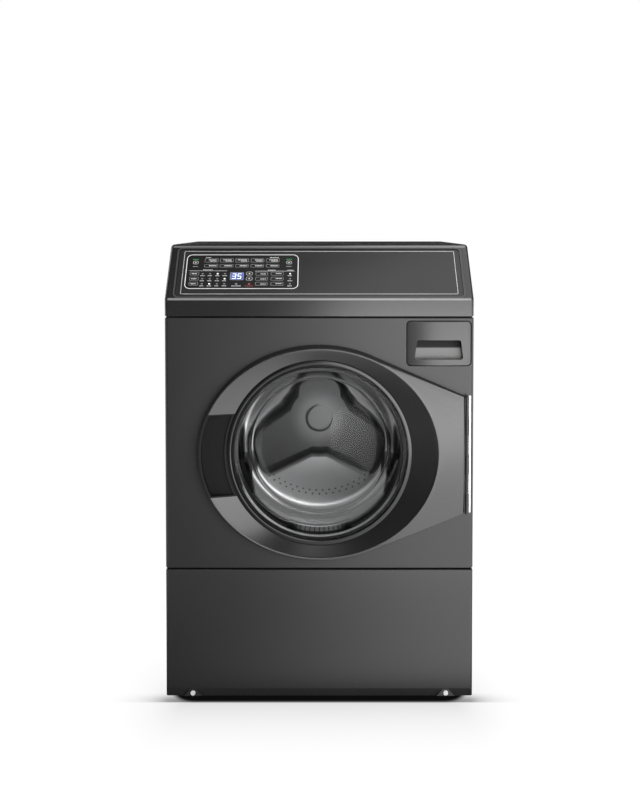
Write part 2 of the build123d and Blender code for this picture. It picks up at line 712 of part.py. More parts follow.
def tub_front():
    """The front half of the tub, with the mouth that the gasket clamps to."""
    shell = turned([
        (TUB_RADIUS - TUB_WALL, TUB_SPLIT_Y), (TUB_RADIUS + TUB_FLANGE, TUB_SPLIT_Y),
        (TUB_RADIUS + TUB_FLANGE, TUB_SPLIT_Y - 6), (TUB_RADIUS, TUB_SPLIT_Y - 6),
        (TUB_RADIUS, TUB_FRONT_Y + 10), (TUB_RADIUS - 10, TUB_FRONT_Y), (TUB_MOUTH, TUB_FRONT_Y),
        (TUB_MOUTH, TUB_FRONT_Y + TUB_WALL), (TUB_RADIUS - TUB_WALL - 8, TUB_FRONT_Y + TUB_WALL),
        (TUB_RADIUS - TUB_WALL, TUB_FRONT_Y + TUB_WALL + 8),
    ])
    reach = sqrt(TUB_RADIUS**2 - (SOAP_TUB_Z - AXIS_Z) ** 2)
    spigot = extrude(
        Plane(origin=(reach - 14, SOAP_Y, SOAP_TUB_Z), z_dir=(1, 0, 0)) * Circle(SOAP_RADIUS - SOAP_WALL),
        amount=20,
    )
    hole = extrude(
        Plane(origin=(reach - 30, SOAP_Y, SOAP_TUB_Z), z_dir=(1, 0, 0))
        * Circle(SOAP_RADIUS - SOAP_WALL - 2),
        amount=50,
    )
    return shell + (spigot - keep_out_inside()) - hole


def bearing_housing():
    """The cast trunnion on the tub's back, with a long hub for the two bearings and radial ribs."""
    front = TUB_BACK_Y - 8
    hub = turned([
        (BEARING_RADIUS, front), (HUB_RADIUS, front), (HUB_RADIUS, TUB_BACK_Y), (HUB_FLANGE, TUB_BACK_Y),
        (HUB_FLANGE, TUB_BACK_Y + 8), (HUB_RADIUS + 6, TUB_BACK_Y + 12), (HUB_RADIUS, HUB_BACK_Y),
        (BEARING_RADIUS, HUB_BACK_Y),
    ])
    rib = side_profile(
        [(TUB_BACK_Y + 4, AXIS_Z + HUB_RADIUS - 6), (HUB_BACK_Y - 6, AXIS_Z + HUB_RADIUS - 6),
         (HUB_BACK_Y - 12, AXIS_Z + HUB_RADIUS + 8), (TUB_BACK_Y + 10, AXIS_Z + HUB_FLANGE - 6),
         (TUB_BACK_Y + 4, AXIS_Z + HUB_FLANGE - 6)], 5,
    )
    axis = Axis((0, 0, AXIS_Z), (0, 1, 0))
    for i in range(6):
        hub += rib.rotate(axis, 60 * i)
    return hub


def drum_bearings():
    """Two ball bearings, each shown as a sealed ring."""
    outer, inner = BEARING_RADIUS - FIT_CLEAR, SHAFT_RADIUS + FIT_CLEAR
    front = TUB_BACK_Y - 8 + SEAL_WIDTH + BEARING_INSET
    back = HUB_BACK_Y - BEARING_INSET
    return [
        ring_y(outer, inner, front, front + BEARING_WIDTH),
        ring_y(outer, inner, back - BEARING_WIDTH, back),
    ]


def shaft_seal():
    """The lip seal in front of the front bearing."""
    front = TUB_BACK_Y - 8
    return ring_y(BEARING_RADIUS - FIT_CLEAR, SHAFT_RADIUS + CLEAR, front + 1, front + SEAL_WIDTH)


def basket():
    """The perforated wash basket: a rolled sheet with a drawn front that ends in a rolled mouth."""
    shell = turned([
        (DRUM_RADIUS, DRUM_BACK_Y), (DRUM_RADIUS, DRUM_FRONT_Y + 16), (DRUM_RADIUS - 16, DRUM_FRONT_Y),
        (DRUM_MOUTH, DRUM_FRONT_Y), (DRUM_MOUTH, DRUM_FRONT_Y + 12),
        (DRUM_MOUTH + DRUM_SHEET, DRUM_FRONT_Y + 12),
        (DRUM_MOUTH + DRUM_SHEET, DRUM_FRONT_Y + DRUM_SHEET), (DRUM_RADIUS - 16, DRUM_FRONT_Y + DRUM_SHEET),
        (DRUM_RADIUS - DRUM_SHEET, DRUM_FRONT_Y + 16 + DRUM_SHEET), (DRUM_RADIUS - DRUM_SHEET, DRUM_BACK_Y),
    ])
    drill = Pos(0, 0, AXIS_Z) * Rot(0, 0, 0) * Cylinder(HOLE_RADIUS, 2 * DRUM_RADIUS + 20)
    axis = Axis((0, 0, AXIS_Z), (0, 1, 0))
    pitch = (DRUM_BACK_Y - DRUM_FRONT_Y - 80) / HOLE_ROWS
    drills = [
        (Pos(0, DRUM_FRONT_Y + 50 + pitch * row, 0) * drill)
        .rotate(axis, 360 / HOLE_COLUMNS * (column + row % 2 / 2))
        for row in range(HOLE_ROWS) for column in range(HOLE_COLUMNS // 2)
    ]
    return shell - drills


def basket_back():
    """The basket's drawn back: a flat disc with a raised hub dome and three pressed arms."""
    thick = 1.5
    outer = DRUM_RADIUS - DRUM_SHEET - FIT_CLEAR
    disc = turned([
        (0, DRUM_BACK_Y - 8), (70, DRUM_BACK_Y - 8), (86, DRUM_BACK_Y - thick), (outer, DRUM_BACK_Y - thick),
        (outer, DRUM_BACK_Y), (86, DRUM_BACK_Y), (70, DRUM_BACK_Y - 8 + thick), (0, DRUM_BACK_Y - 8 + thick),
    ])
    return disc


def baffle_body(margin):
    """One lifter's outer form, drawn in by a margin."""
    floor = DRUM_RADIUS - DRUM_SHEET - CLEAR
    crest = floor - BAFFLE_HEIGHT + margin
    length = BAFFLE_LENGTH - 2 * margin
    foot, top = BAFFLE_FOOT / 2 - margin, BAFFLE_CREST / 2 - margin / 2
    outline = Polyline((-foot, -floor - 4), (-top, -crest), (top, -crest), (foot, -floor - 4), close=True)
    middle = (DRUM_FRONT_Y + DRUM_BACK_Y) / 2
    body = extrude(door_plane(middle + length / 2) * make_face(outline), amount=length)
    crests = [e for e in body.edges().filter_by(Axis.Y) if abs(e.center().Z - AXIS_Z + crest) < 1]
    body = fillet(crests, BAFFLE_ROUND - margin)
    ends = [
        e for e in body.edges()
        if abs(abs(e.center().Y - middle) - length / 2) < 1 and e.center().Z > AXIS_Z - floor
    ]
    return fillet(ends, BAFFLE_END_ROUND - margin)


def baffles():
    """Three hollow lifters bolted inside the basket, each with a rounded crest and an open foot."""
    floor = DRUM_RADIUS - DRUM_SHEET - CLEAR
    body = baffle_body(0) - baffle_body(BAFFLE_WALL)
    body &= rod_y(0, AXIS_Z, floor, DRUM_FRONT_Y, DRUM_BACK_Y)
    axis = Axis((0, 0, AXIS_Z), (0, 1, 0))
    return [body.rotate(axis, BAFFLE_TURN + 360 / BAFFLE_COUNT * i) for i in range(BAFFLE_COUNT)]


def drum_spider():
    """The cast three-arm spider behind the basket, pressed onto the shaft."""
    front = DRUM_BACK_Y + FIT_CLEAR
    hub = ring_y(SHAFT_RADIUS + 22, SHAFT_RADIUS + FIT_CLEAR, front, front + SPIDER_DEPTH)
    reach = DRUM_RADIUS - 10
    arm = side_profile(
        [(front, AXIS_Z + SHAFT_RADIUS + 8), (front + SPIDER_DEPTH, AXIS_Z + SHAFT_RADIUS + 8),
         (front + 8, AXIS_Z + reach), (front, AXIS_Z + reach)], SPIDER_ARM / 2,
    )
    axis = Axis((0, 0, AXIS_Z), (0, 1, 0))
    for i in range(BAFFLE_COUNT):
        hub += arm.rotate(axis, 60 + 360 / BAFFLE_COUNT * i)
    return hub


def drum_shaft():
    """The steel drive shaft, with the bolt that holds the pulley."""
    end = PULLEY_Y + PULLEY_WIDTH + 2
    shaft = rod_y(0, AXIS_Z, SHAFT_RADIUS, DRUM_BACK_Y + FIT_CLEAR, end)
    return shaft + extrude(door_plane(end) * RegularPolygon(10, 6), amount=-7)


def drum_pulley():
    """The big belt pulley with five spokes."""
    back = PULLEY_Y + PULLEY_WIDTH
    wheel = ring_y(PULLEY_RADIUS, PULLEY_RADIUS - 10, PULLEY_Y, back)
    wheel += ring_y(36, SHAFT_RADIUS + FIT_CLEAR, PULLEY_Y, back)
    spoke = block(-9, 9, PULLEY_Y + 5, back - 5, AXIS_Z + 30, AXIS_Z + PULLEY_RADIUS - 5)
    axis = Axis((0, 0, AXIS_Z), (0, 1, 0))
    for i in range(5):
        wheel += spoke.rotate(axis, 72 * i)
    return wheel


def belt_loop(grow):
    """The belt's path round both pulleys, grown outwards."""
    big = Circle(PULLEY_RADIUS + grow)
    small = Pos(MOTOR_X, -MOTOR_DROP) * Circle(MOTOR_PULLEY_RADIUS + grow)
    return make_hull(big.edges() + small.edges())


def drive_belt():
    """The flat ribbed belt from the motor to the drum pulley."""
    y = PULLEY_Y + (PULLEY_WIDTH + BELT_WIDTH) / 2
    return extrude(door_plane(y) * (belt_loop(CLEAR + BELT_THICK) - belt_loop(CLEAR)), amount=BELT_WIDTH)


def drive_motor():
    """The motor under the tub, with two hanger lugs on the tub's underside."""
    z = AXIS_Z - MOTOR_DROP
    front = MOTOR_BACK_Y - MOTOR_LENGTH
    body = rod_y(MOTOR_X, z, MOTOR_RADIUS, front, MOTOR_BACK_Y)
    body = fillet(body.edges().filter_by(GeomType.CIRCLE), 6)
    for x in (MOTOR_X - 50, MOTOR_X + 30):
        lug = block(x, x + 20, front + 20, TUB_BACK_Y - 10, z, AXIS_Z - 180)
        body += lug - rod_y(0, AXIS_Z, TUB_RADIUS + FIT_CLEAR, front, MOTOR_BACK_Y)
    return body - rod_y(MOTOR_X, z, MOTOR_SHAFT_RADIUS + FIT_CLEAR, MOTOR_BACK_Y - 40, MOTOR_BACK_Y + 1)


def motor_pulley():
    """The motor's shaft end and the small pulley on it."""
    z = AXIS_Z - MOTOR_DROP
    shaft = rod_y(MOTOR_X, z, MOTOR_SHAFT_RADIUS, MOTOR_BACK_Y - 36, PULLEY_Y + PULLEY_WIDTH)
    wheel = rod_y(MOTOR_X, z, MOTOR_PULLEY_RADIUS, PULLEY_Y - 2, PULLEY_Y + PULLEY_WIDTH + 2)
    return shaft + wheel


def counterweight():
    """The concrete block clamped on top of the tub."""
    body = block(-BLOCK_HALF, BLOCK_HALF, BLOCK_FRONT_Y, BLOCK_BACK_Y, AXIS_Z + 200, BLOCK_TOP_Z)
    body = fillet(body.edges().filter_by(Axis.Z), 12)
    return body - rod_y(0, AXIS_Z, TUB_RADIUS + FIT_CLEAR, BLOCK_FRONT_Y - 1, BLOCK_BACK_Y + 1)


def door_gasket():
    """The bellows between the front panel and the tub's mouth, with a lip that the glass closes on."""
    start = FRONT_Y + SHEET + CLEAR
    end = TUB_FRONT_Y - FIT_CLEAR
    inner = DOOR_HOLE - CLEAR
    wall = GASKET_WALL
    middle = (start + end) / 2
    return turned([
        (GASKET_LIP, FRONT_Y + 1), (inner, FRONT_Y + 1), (inner, FRONT_Y + 16),
        (inner + 3, FRONT_Y + 18), (GASKET_FOLD, middle - 6), (GASKET_FOLD, middle + 6),
        (GASKET_WAIST + wall, end - 10), (TUB_MOUTH + 14, end - 6), (TUB_MOUTH + 14, end),
        (GASKET_WAIST, end), (GASKET_WAIST, end - 10), (GASKET_FOLD - wall, middle + 5),
        (GASKET_FOLD - wall, middle - 5), (inner - wall, FRONT_Y + 20), (GASKET_LIP, FRONT_Y + 6),
    ])


# Suspension


def spring_brace():
    """The folded channel across the cabinet that carries the springs."""
    half = INSIDE - FIT_CLEAR
    y0, y1 = SPRING_Y - BRACE_WIDTH / 2, SPRING_Y + BRACE_WIDTH / 2
    channel = block(-half, half, y0, y1, BRACE_Z, BRACE_Z + BRACE_HEIGHT)
    channel -= block(-half - 1, half + 1, y0 + 2, y1 - 2, BRACE_Z + 2, BRACE_Z + BRACE_HEIGHT + 1)
    return channel


def suspension_springs():
    """Two extension springs that hang the tub from the brace."""
    springs = []
    for x in (-SPRING_X, SPRING_X):
        lower = rod_z(x, SPRING_Y, WIRE_RADIUS, EAR_Z + FIT_CLEAR, SPRING_BOTTOM_Z + 4)
        upper = rod_z(x, SPRING_Y, WIRE_RADIUS, SPRING_TOP_Z - 4, BRACE_Z - FIT_CLEAR)
        inner = SPRING_RADIUS - 2 * WIRE_RADIUS
        body = ring_z(x, SPRING_Y, SPRING_RADIUS, inner, SPRING_BOTTOM_Z, SPRING_TOP_Z)
        caps = rod_z(x, SPRING_Y, SPRING_RADIUS, SPRING_BOTTOM_Z, SPRING_BOTTOM_Z + 5)
        caps += rod_z(x, SPRING_Y, SPRING_RADIUS, SPRING_TOP_Z - 5, SPRING_TOP_Z)
        springs.append(body + caps + lower + upper)
    return springs


def ring_z(x, y, outer, inner, z0, z1):
    """A tube along Z."""
    return extrude(Plane.XY.offset(z0) * Pos(x, y) * (Circle(outer) - Circle(inner)), amount=z1 - z0)


def damper_cylinders():
    """Two friction damper bodies, each standing on a bracket on the base."""
    floor = FOOT_GAP + BASE_WALL + FIT_CLEAR
    bodies = []
    for x in (-DAMPER_X, DAMPER_X):
        body = ring_z(x, DAMPER_Y, DAMPER_RADIUS, DAMPER_RADIUS - 3, DAMPER_BOTTOM_Z, DAMPER_TOP_Z)
        body += rod_z(x, DAMPER_Y, DAMPER_RADIUS, DAMPER_BOTTOM_Z, DAMPER_BOTTOM_Z + 6)
        body += ring_z(x, DAMPER_Y, DAMPER_RADIUS, ROD_RADIUS + CLEAR, DAMPER_TOP_Z - 6, DAMPER_TOP_Z)
        stand = block(x - 10, x + 10, DAMPER_Y - 10, DAMPER_Y + 10, floor, DAMPER_BOTTOM_Z + 2)
        plate = block(x - 26, x + 26, DAMPER_Y - 18, DAMPER_Y + 18, floor, floor + 4)
        bodies.append(body + stand + plate)
    return bodies


def damper_rods():
    """The damper rods, bolted to the tub's lugs."""
    rods = []
    for x in (-DAMPER_X, DAMPER_X):
        rod = rod_z(x, DAMPER_Y, ROD_RADIUS, ROD_BOTTOM_Z, LUG_Z - 8)
        rods.append(rod + rod_z(x, DAMPER_Y, ROD_RADIUS + 5, LUG_Z - 10, LUG_Z - FIT_CLEAR))
    return rods


# Door


def hinge_span():
    """The lowest and highest z of the hinge, measured from the drum's axis."""
    return -HINGE_DROP - HINGE_HEIGHT / 2, -HINGE_DROP + HINGE_HEIGHT / 2


def tangent_point(x, z, side, margin):
    """Where a line from (x, z) touches the door's ellipse; side is 1 above and -1 below."""
    across, upright = DOOR_HALF_WIDTH - margin, DOOR_HALF_HEIGHT - margin
    a, b = x / across, z / upright
    angle = atan2(b, a) + side * acos(1 / hypot(a, b))
    return across * cos(angle), upright * sin(angle)


def door_outline(margin=0.0):
    """An ellipse drawn out to a straight hinge edge by two tangent lines, all drawn in by a margin."""
    low, high = hinge_span()
    low, high, edge = low + margin, high - margin, DOOR_EDGE_X - margin
    upper = tangent_point(edge, high, 1, margin)
    lower = tangent_point(edge, low, -1, margin)
    flap = Polygon(upper, lower, (edge, low), (edge, high), align=None)
    return Ellipse(DOOR_HALF_WIDTH - margin, DOOR_HALF_HEIGHT - margin) + flap


def funnel(half_width, half_height, radius, front, back):
    """A dish that runs from an ellipse at the front to a circle behind."""
    wide = door_plane(front) * Ellipse(half_width, half_height)
    narrow = door_plane(back) * Circle(radius)
    return loft([wide, narrow])


def handle_room(margin):
    """The stretch of the door's left side that the grip fills."""
    half = HANDLE_HEIGHT / 2 - margin
    middle = AXIS_Z + HANDLE_Z
    return block(
        -DOOR_HALF_WIDTH - 1, -FUNNEL_RADIUS * 0.5, FRONT_Y - DOOR_PROUD - 1, FRONT_Y,
        middle - half, middle + half,
    )


def flap_room():
    """The room under the door's front: an oval plateau whose outside falls away evenly all round."""
    front = FRONT_Y - DOOR_PROUD
    low = front + FLAP_FALL
    crown = loft([
        door_plane(front) * Ellipse(DOOR_HALF_WIDTH, DOOR_HALF_HEIGHT),
        door_plane(low) * Ellipse(DOOR_HALF_WIDTH + FLAP_SPREAD_X, DOOR_HALF_HEIGHT + FLAP_SPREAD_Z),
    ])
    base = door_plane(FRONT_Y) * Rectangle(4 * DOOR_EDGE_X, 4 * DOOR_EDGE_X)
    return crown + extrude(base, amount=FRONT_Y - low)


def door_ring():
    """The outer door moulding: a ridge round an oval dish, with a flap that falls away to the hinge."""
    front, back = FRONT_Y - DOOR_PROUD, FRONT_Y - DOOR_REST
    body = extrude(door_plane(back) * door_outline(), amount=DOOR_PROUD - DOOR_REST)
    body &= flap_room()
    rim = [e for e in body.edges() if e.center().Y < front + 0.1 and e.length > 30 and e.center().X < 0]
    body = fillet(rim, RIM_ROUND)
    body -= funnel(
        DOOR_HALF_WIDTH - RIDGE, DOOR_HALF_HEIGHT - RIDGE, FUNNEL_RADIUS, front - 0.01, FRONT_Y - FUNNEL_PROUD
    )
    body -= rod_y(0, AXIS_Z, FUNNEL_RADIUS, FRONT_Y - FUNNEL_PROUD - 1, back + 1)
    lining = funnel(
        DOOR_HALF_WIDTH + 2, DOOR_HALF_HEIGHT + 2, FUNNEL_RADIUS + DOOR_WALL, front, back + 1
    )
    cavity = extrude(
        door_plane(back + 1) * door_outline(DOOR_WALL), amount=DOOR_PROUD - FLAP_FALL - DOOR_REST + 1
    )
    body -= cavity - lining
    return body - handle_room(0)


def door_handle():
    """The dark grip in the door's left side: a deep pocket behind a lip for the fingers."""
    front, back = FRONT_Y - DOOR_PROUD, FRONT_Y - DOOR_REST
    outline = door_plane(back) * Ellipse(DOOR_HALF_WIDTH, DOOR_HALF_HEIGHT)
    oval = extrude(outline, amount=DOOR_PROUD - DOOR_REST)
    body = oval & handle_room(CLEAR)
    body -= rod_y(0, AXIS_Z, FUNNEL_RADIUS, front - 1, back + 1)
    body -= funnel(
        DOOR_HALF_WIDTH - RIDGE, DOOR_HALF_HEIGHT - RIDGE, FUNNEL_RADIUS, front - 0.01, FRONT_Y - FUNNEL_PROUD
    )
    pocket = extrude(
        door_plane(back - HANDLE_WALL)
        * Ellipse(DOOR_HALF_WIDTH - RIDGE - HANDLE_WALL, DOOR_HALF_HEIGHT - RIDGE - HANDLE_WALL),
        amount=DOOR_PROUD,
    )
    pocket &= handle_room(CLEAR + HANDLE_WALL)
    return body - (pocket - rod_y(0, AXIS_Z, FUNNEL_RADIUS + DOOR_WALL, front - 1, back + 1))


def door_bezel():
    """The gloss ring that trims the glass inside the dish."""
    front, back = FRONT_Y - FUNNEL_PROUD - 1, FRONT_Y - DOOR_REST - GLASS_THICK
    outer = FUNNEL_RADIUS - FIT_CLEAR
    bezel = turned([
        (BEZEL_INNER, back), (BEZEL_INNER, front + 1.5), (BEZEL_INNER + 2, front), (outer - 1.5, front),
        (outer, front + 1.5), (outer, back),
    ])
    return bezel


def door_glass():
    """The pressed glass bowl, with a flange that the door clamps."""
    back = FRONT_Y - DOOR_REST
    front = back - GLASS_THICK
    end = FRONT_Y + GLASS_DEPTH
    wall = GLASS_THICK + 1
    outside = turned([(0, front), (GLASS_ROOT, front), (GLASS_ROOT, back), (GLASS_END, end), (0, end)])
    outside = fillet(outside.edges().group_by(Axis.Y)[-1], GLASS_ROUND)
    inside = turned([
        (0, front - 1), (GLASS_ROOT - wall, front - 1), (GLASS_ROOT - wall, back),
        (GLASS_END - wall, end - wall),
        (0, end - wall),
    ])
    inside = fillet(inside.edges().group_by(Axis.Y)[-1], GLASS_ROUND - wall)
    return outside + ring_y(GLASS_FLANGE, GLASS_ROOT - 2, front, back) - inside


def door_inner_frame():
    """The back cover of the door, which clamps the glass flange."""
    back = FRONT_Y - DOOR_REST
    plate = extrude(door_plane(back + FRAME_THICK) * door_outline(FRAME_MARGIN), amount=FRAME_THICK)
    return plate - rod_y(0, AXIS_Z, GLASS_ROOT + 1, back - 1, FRONT_Y)


def knuckle_runs(first):
    """The z runs of every other hinge knuckle, counted from first."""
    low, _ = hinge_span()
    pitch = HINGE_HEIGHT / KNUCKLES
    return [
        (AXIS_Z + low + pitch * i + CLEAR / 2, AXIS_Z + low + pitch * (i + 1) - CLEAR / 2)
        for i in range(first, KNUCKLES, 2)
    ]


def knuckles(first):
    """Rolled knuckles round the hinge pin, with the pin's bore left open."""
    y = FRONT_Y - HINGE_PROUD
    return [
        ring_z(HINGE_X, y, KNUCKLE_RADIUS, PIN_RADIUS + FIT_CLEAR, z0, z1) for z0, z1 in knuckle_runs(first)
    ]


def hinge_cabinet_leaf():
    """The bright fixed leaf: a strip on the front panel and a web out to its knuckles."""
    low, high = hinge_span()
    x = HINGE_X + KNUCKLE_RADIUS - LEAF / 2
    leaf = block(x, x + 7, FRONT_Y - LEAF, FRONT_Y, AXIS_Z + low, AXIS_Z + high)
    for (z0, z1), roll in zip(knuckle_runs(0), knuckles(0)):
        leaf += block(x, x + LEAF, FRONT_Y - HINGE_PROUD, FRONT_Y, z0, z1)
        leaf += roll
    return leaf - rod_z(HINGE_X, FRONT_Y - HINGE_PROUD, PIN_RADIUS + FIT_CLEAR, 0, HEIGHT)


def hinge_door_leaf():
    """The moving leaf, screwed to the door's edge."""
    low, high = hinge_span()
    y = FRONT_Y - HINGE_PROUD
    leaf = block(
        DOOR_EDGE_X + FIT_CLEAR, DOOR_EDGE_X + LEAF, y - 6, y + 7, AXIS_Z + low + 2, AXIS_Z + high - 2
    )
    pitch_clear = CLEAR
    for z0, z1 in knuckle_runs(0):
        low, high = z0 - pitch_clear, z1 + pitch_clear
        leaf -= block(DOOR_EDGE_X + LEAF - 0.4, DOOR_EDGE_X + 4, y - 7, y + 8, low, high)
    for (z0, z1), roll in zip(knuckle_runs(1), knuckles(1)):
        leaf += block(DOOR_EDGE_X + LEAF / 2, HINGE_X, y - 1, y + 1, z0, z1)
        leaf += roll
    return leaf - rod_z(HINGE_X, y, PIN_RADIUS + FIT_CLEAR, 0, HEIGHT)


def hinge_pin():
    """The hinge pin, headed at both ends."""
    low, high = hinge_span()
    y = FRONT_Y - HINGE_PROUD
    pin = rod_z(HINGE_X, y, PIN_RADIUS, AXIS_Z + low - 2, AXIS_Z + high + 2)
    return pin + rod_z(HINGE_X, y, PIN_RADIUS + 1, AXIS_Z + high + CLEAR, AXIS_Z + high + 2)


def door_strike():
    """The strike on the door's back, with an eye for the lock's bolt."""
    base_y = FRONT_Y - DOOR_REST + FRAME_THICK
    half = STRIKE_WIDTH / 2
    tongue = block(
        STRIKE_X - half, STRIKE_X + half, base_y, FRONT_Y + STRIKE_REACH,
        AXIS_Z - STRIKE_HEIGHT / 2, AXIS_Z + STRIKE_HEIGHT / 2,
    )
    eye_y = FRONT_Y + STRIKE_REACH - STRIKE_EYE - 4
    eye = extrude(
        Plane(origin=(STRIKE_X - half - 1, eye_y, AXIS_Z), z_dir=(1, 0, 0)) * Circle(STRIKE_EYE),
        amount=STRIKE_WIDTH + 2,
    )
    return tongue - eye


def lock_room():
    """The x centre of the lock housing and the y of the bolt."""
    return STRIKE_X - 4, FRONT_Y + STRIKE_REACH - STRIKE_EYE - 4


def door_lock():
    """The lock housing behind the front panel, open where the strike and the bolt go in."""
    x, bolt_y = lock_room()
    y0 = FRONT_Y + SHEET + FIT_CLEAR
    body = block(
        x - LOCK_WIDTH / 2, x + LOCK_WIDTH / 2, y0, y0 + LOCK_DEPTH,
        AXIS_Z - LOCK_HEIGHT / 2, AXIS_Z + LOCK_HEIGHT / 2,
    )
    slot, rise = STRIKE_WIDTH / 2 + 5, STRIKE_HEIGHT / 2 + 4
    body -= block(
        STRIKE_X - slot, STRIKE_X + slot, y0 - 1, FRONT_Y + STRIKE_REACH + 5, AXIS_Z - rise, AXIS_Z + rise
    )
    bolt_hole = extrude(
        Plane(origin=(x - LOCK_WIDTH, bolt_y, AXIS_Z), z_dir=(1, 0, 0)) * Circle(BOLT_RADIUS + FIT_CLEAR),
        amount=LOCK_WIDTH,
    )
    return body - bolt_hole


def lock_bolt():
    """The lock's bolt, drawn back so that the door is free."""
    x, bolt_y = lock_room()
    end = STRIKE_X - STRIKE_WIDTH / 2 - 1
    start = x - LOCK_WIDTH / 2 - 6
    section = Plane(origin=(start, bolt_y, AXIS_Z), z_dir=(1, 0, 0)) * Circle(BOLT_RADIUS)
    return extrude(section, amount=end - start)


# Dispenser


def drawer_front():
    """The drawer's bowed front with a pull pocket that undercuts its upper edge."""
    left, right = DRAWER_LEFT + DRAWER_GAP, DRAWER_RIGHT - DRAWER_GAP
    bottom, top = DRAWER_BOTTOM + DRAWER_GAP, DRAWER_TOP - DRAWER_GAP
    middle = (left + right) / 2
    back = FRONT_Y + DRAWER_BLOCK
    plan = Polyline((right, FRONT_Y), (right, back), (left, back), (left, FRONT_Y))
    bow = ThreePointArc((left, FRONT_Y), (middle, FRONT_Y - DRAWER_BULGE), (right, FRONT_Y))
    body = extrude(Plane.XY.offset(bottom) * make_face([plan, bow]), amount=top - bottom)
    body = fillet(body.edges().filter_by(Axis.Y), DRAWER_CORNER - DRAWER_GAP)
    front_edges = [e for e in body.edges() if e.center().Y < FRONT_Y + 0.5]
    body = fillet(front_edges, 2.0)
    half_top, half_bottom = PULL_TOP_WIDTH / 2, PULL_BOTTOM_WIDTH / 2
    mouth = Polygon(
        (middle - half_bottom, PULL_BOTTOM_Z), (middle + half_bottom, PULL_BOTTOM_Z),
        (middle + half_top, PULL_TOP_Z), (middle - half_top, PULL_TOP_Z), align=None,
    )
    pocket = extrude(front_plane(FRONT_Y + PULL_DEPTH) * mouth, amount=PULL_DEPTH + DRAWER_BULGE + 1)
    pocket = fillet(pocket.edges().filter_by(Axis.Y), 5)
    ramp = Plane.YZ * Polygon(
        (FRONT_Y - DRAWER_BULGE - 2, PULL_BOTTOM_Z - 2), (FRONT_Y + PULL_DEPTH, PULL_BOTTOM_Z + 26),
        (FRONT_Y + PULL_DEPTH, PULL_BOTTOM_Z - 2), align=None,
    )
    return body - (pocket - extrude(ramp, amount=WIDTH))


def drawer_tray():
    """The detergent tray: three cups divided by two walls."""
    right = DRAWER_RIGHT - DRAWER_GAP - TRAY_MARGIN
    top = DRAWER_TOP - DRAWER_GAP - TRAY_MARGIN
    y0 = FRONT_Y + DRAWER_BLOCK + FIT_CLEAR
    y1 = y0 + TRAY_LENGTH
    tray = block(TRAY_LEFT, right, y0, y1, TRAY_BOTTOM, top)
    wall = TRAY_WALL
    middle = (TRAY_LEFT + right) / 2
    split = y0 + TRAY_LENGTH * 0.55
    for x0, x1, ya, yb in (
        (TRAY_LEFT + wall, right - wall, split + wall, y1 - wall),
        (TRAY_LEFT + wall, middle - wall / 2, y0 + wall, split),
        (middle + wall / 2, right - wall, y0 + wall, split),
    ):
        tray -= block(x0, x1, ya, yb, TRAY_BOTTOM + wall, top + 1)
    return tray


def dispenser_housing():
    """The box that the tray slides in, with two water ports on top and a spout to the tub hose."""
    right = DRAWER_RIGHT - DRAWER_GAP - TRAY_MARGIN + SLIDE_CLEAR
    top = DRAWER_TOP - DRAWER_GAP - TRAY_MARGIN + SLIDE_CLEAR
    left, bottom = TRAY_LEFT - SLIDE_CLEAR, TRAY_BOTTOM - CLEAR
    y0 = FRONT_Y + PANEL_RETURN + SEAM
    y1 = FRONT_Y + DRAWER_BLOCK + TRAY_LENGTH + SLIDE_CLEAR
    wall = HOUSING_WALL
    body = block(left - wall, right + wall, y0, y1 + wall, bottom - wall, top + wall)
    body -= block(left, right, y0 - 1, y1, bottom, top)
    body += ring_z(SOAP_X, SOAP_Y, SOAP_RADIUS - SOAP_WALL, SOAP_RADIUS - SOAP_WALL - 2, bottom - 26, bottom)
    body -= rod_z(SOAP_X, SOAP_Y, SOAP_RADIUS - SOAP_WALL - 2, bottom - 27, bottom + 1)
    for x in FILL_PORTS_X:
        port = FILL_RADIUS - FILL_WALL
        body += ring_z(x, FILL_PORT_Y, port, port - 2, top + wall / 2, top + 18)
        body -= rod_z(x, FILL_PORT_Y, port - 2, top - 1, top + 19)
    return body


def dispenser_hose():
    """The hose from the dispenser's spout down to the tub's side."""
    top = TRAY_BOTTOM - CLEAR - HOUSING_WALL - FIT_CLEAR
    reach = sqrt(TUB_RADIUS**2 - (SOAP_TUB_Z - AXIS_Z) ** 2)
    run = [(SOAP_X, SOAP_Y, top), (SOAP_X, SOAP_Y, SOAP_TUB_Z), (reach + SOAP_RADIUS / 2, SOAP_Y, SOAP_TUB_Z)]
    hose = tube(run, SOAP_RADIUS, SOAP_WALL - FIT_CLEAR, SOAP_X - reach - SOAP_RADIUS / 2 - 1)
    return hose - rod_y(0, AXIS_Z, TUB_RADIUS + FIT_CLEAR, SOAP_Y - 40, SOAP_Y + 40)


# Water and power


def water_valve():
    """The double inlet valve, with two threaded ports through the back."""
    body = block(
        INLET_X[0] - 22, INLET_X[1] + 22, REAR_Y - SHEET - VALVE_DEPTH, REAR_Y - SHEET - FIT_CLEAR,
        INLET_Z - 18, INLET_Z + 18,
    )
    for x in INLET_X:
        body += rod_y(x, INLET_Z, INLET_RADIUS, REAR_Y - SHEET - 4, BACK_Y)
        body -= rod_y(x, INLET_Z, INLET_BORE, BACK_Y - INLET_LENGTH - 10, BACK_Y + 1)
        port = REAR_Y - SHEET - VALVE_DEPTH - 18
        body += rod_y(x, INLET_Z + 14, FILL_RADIUS - FILL_WALL, port, REAR_Y - 40)
    return body


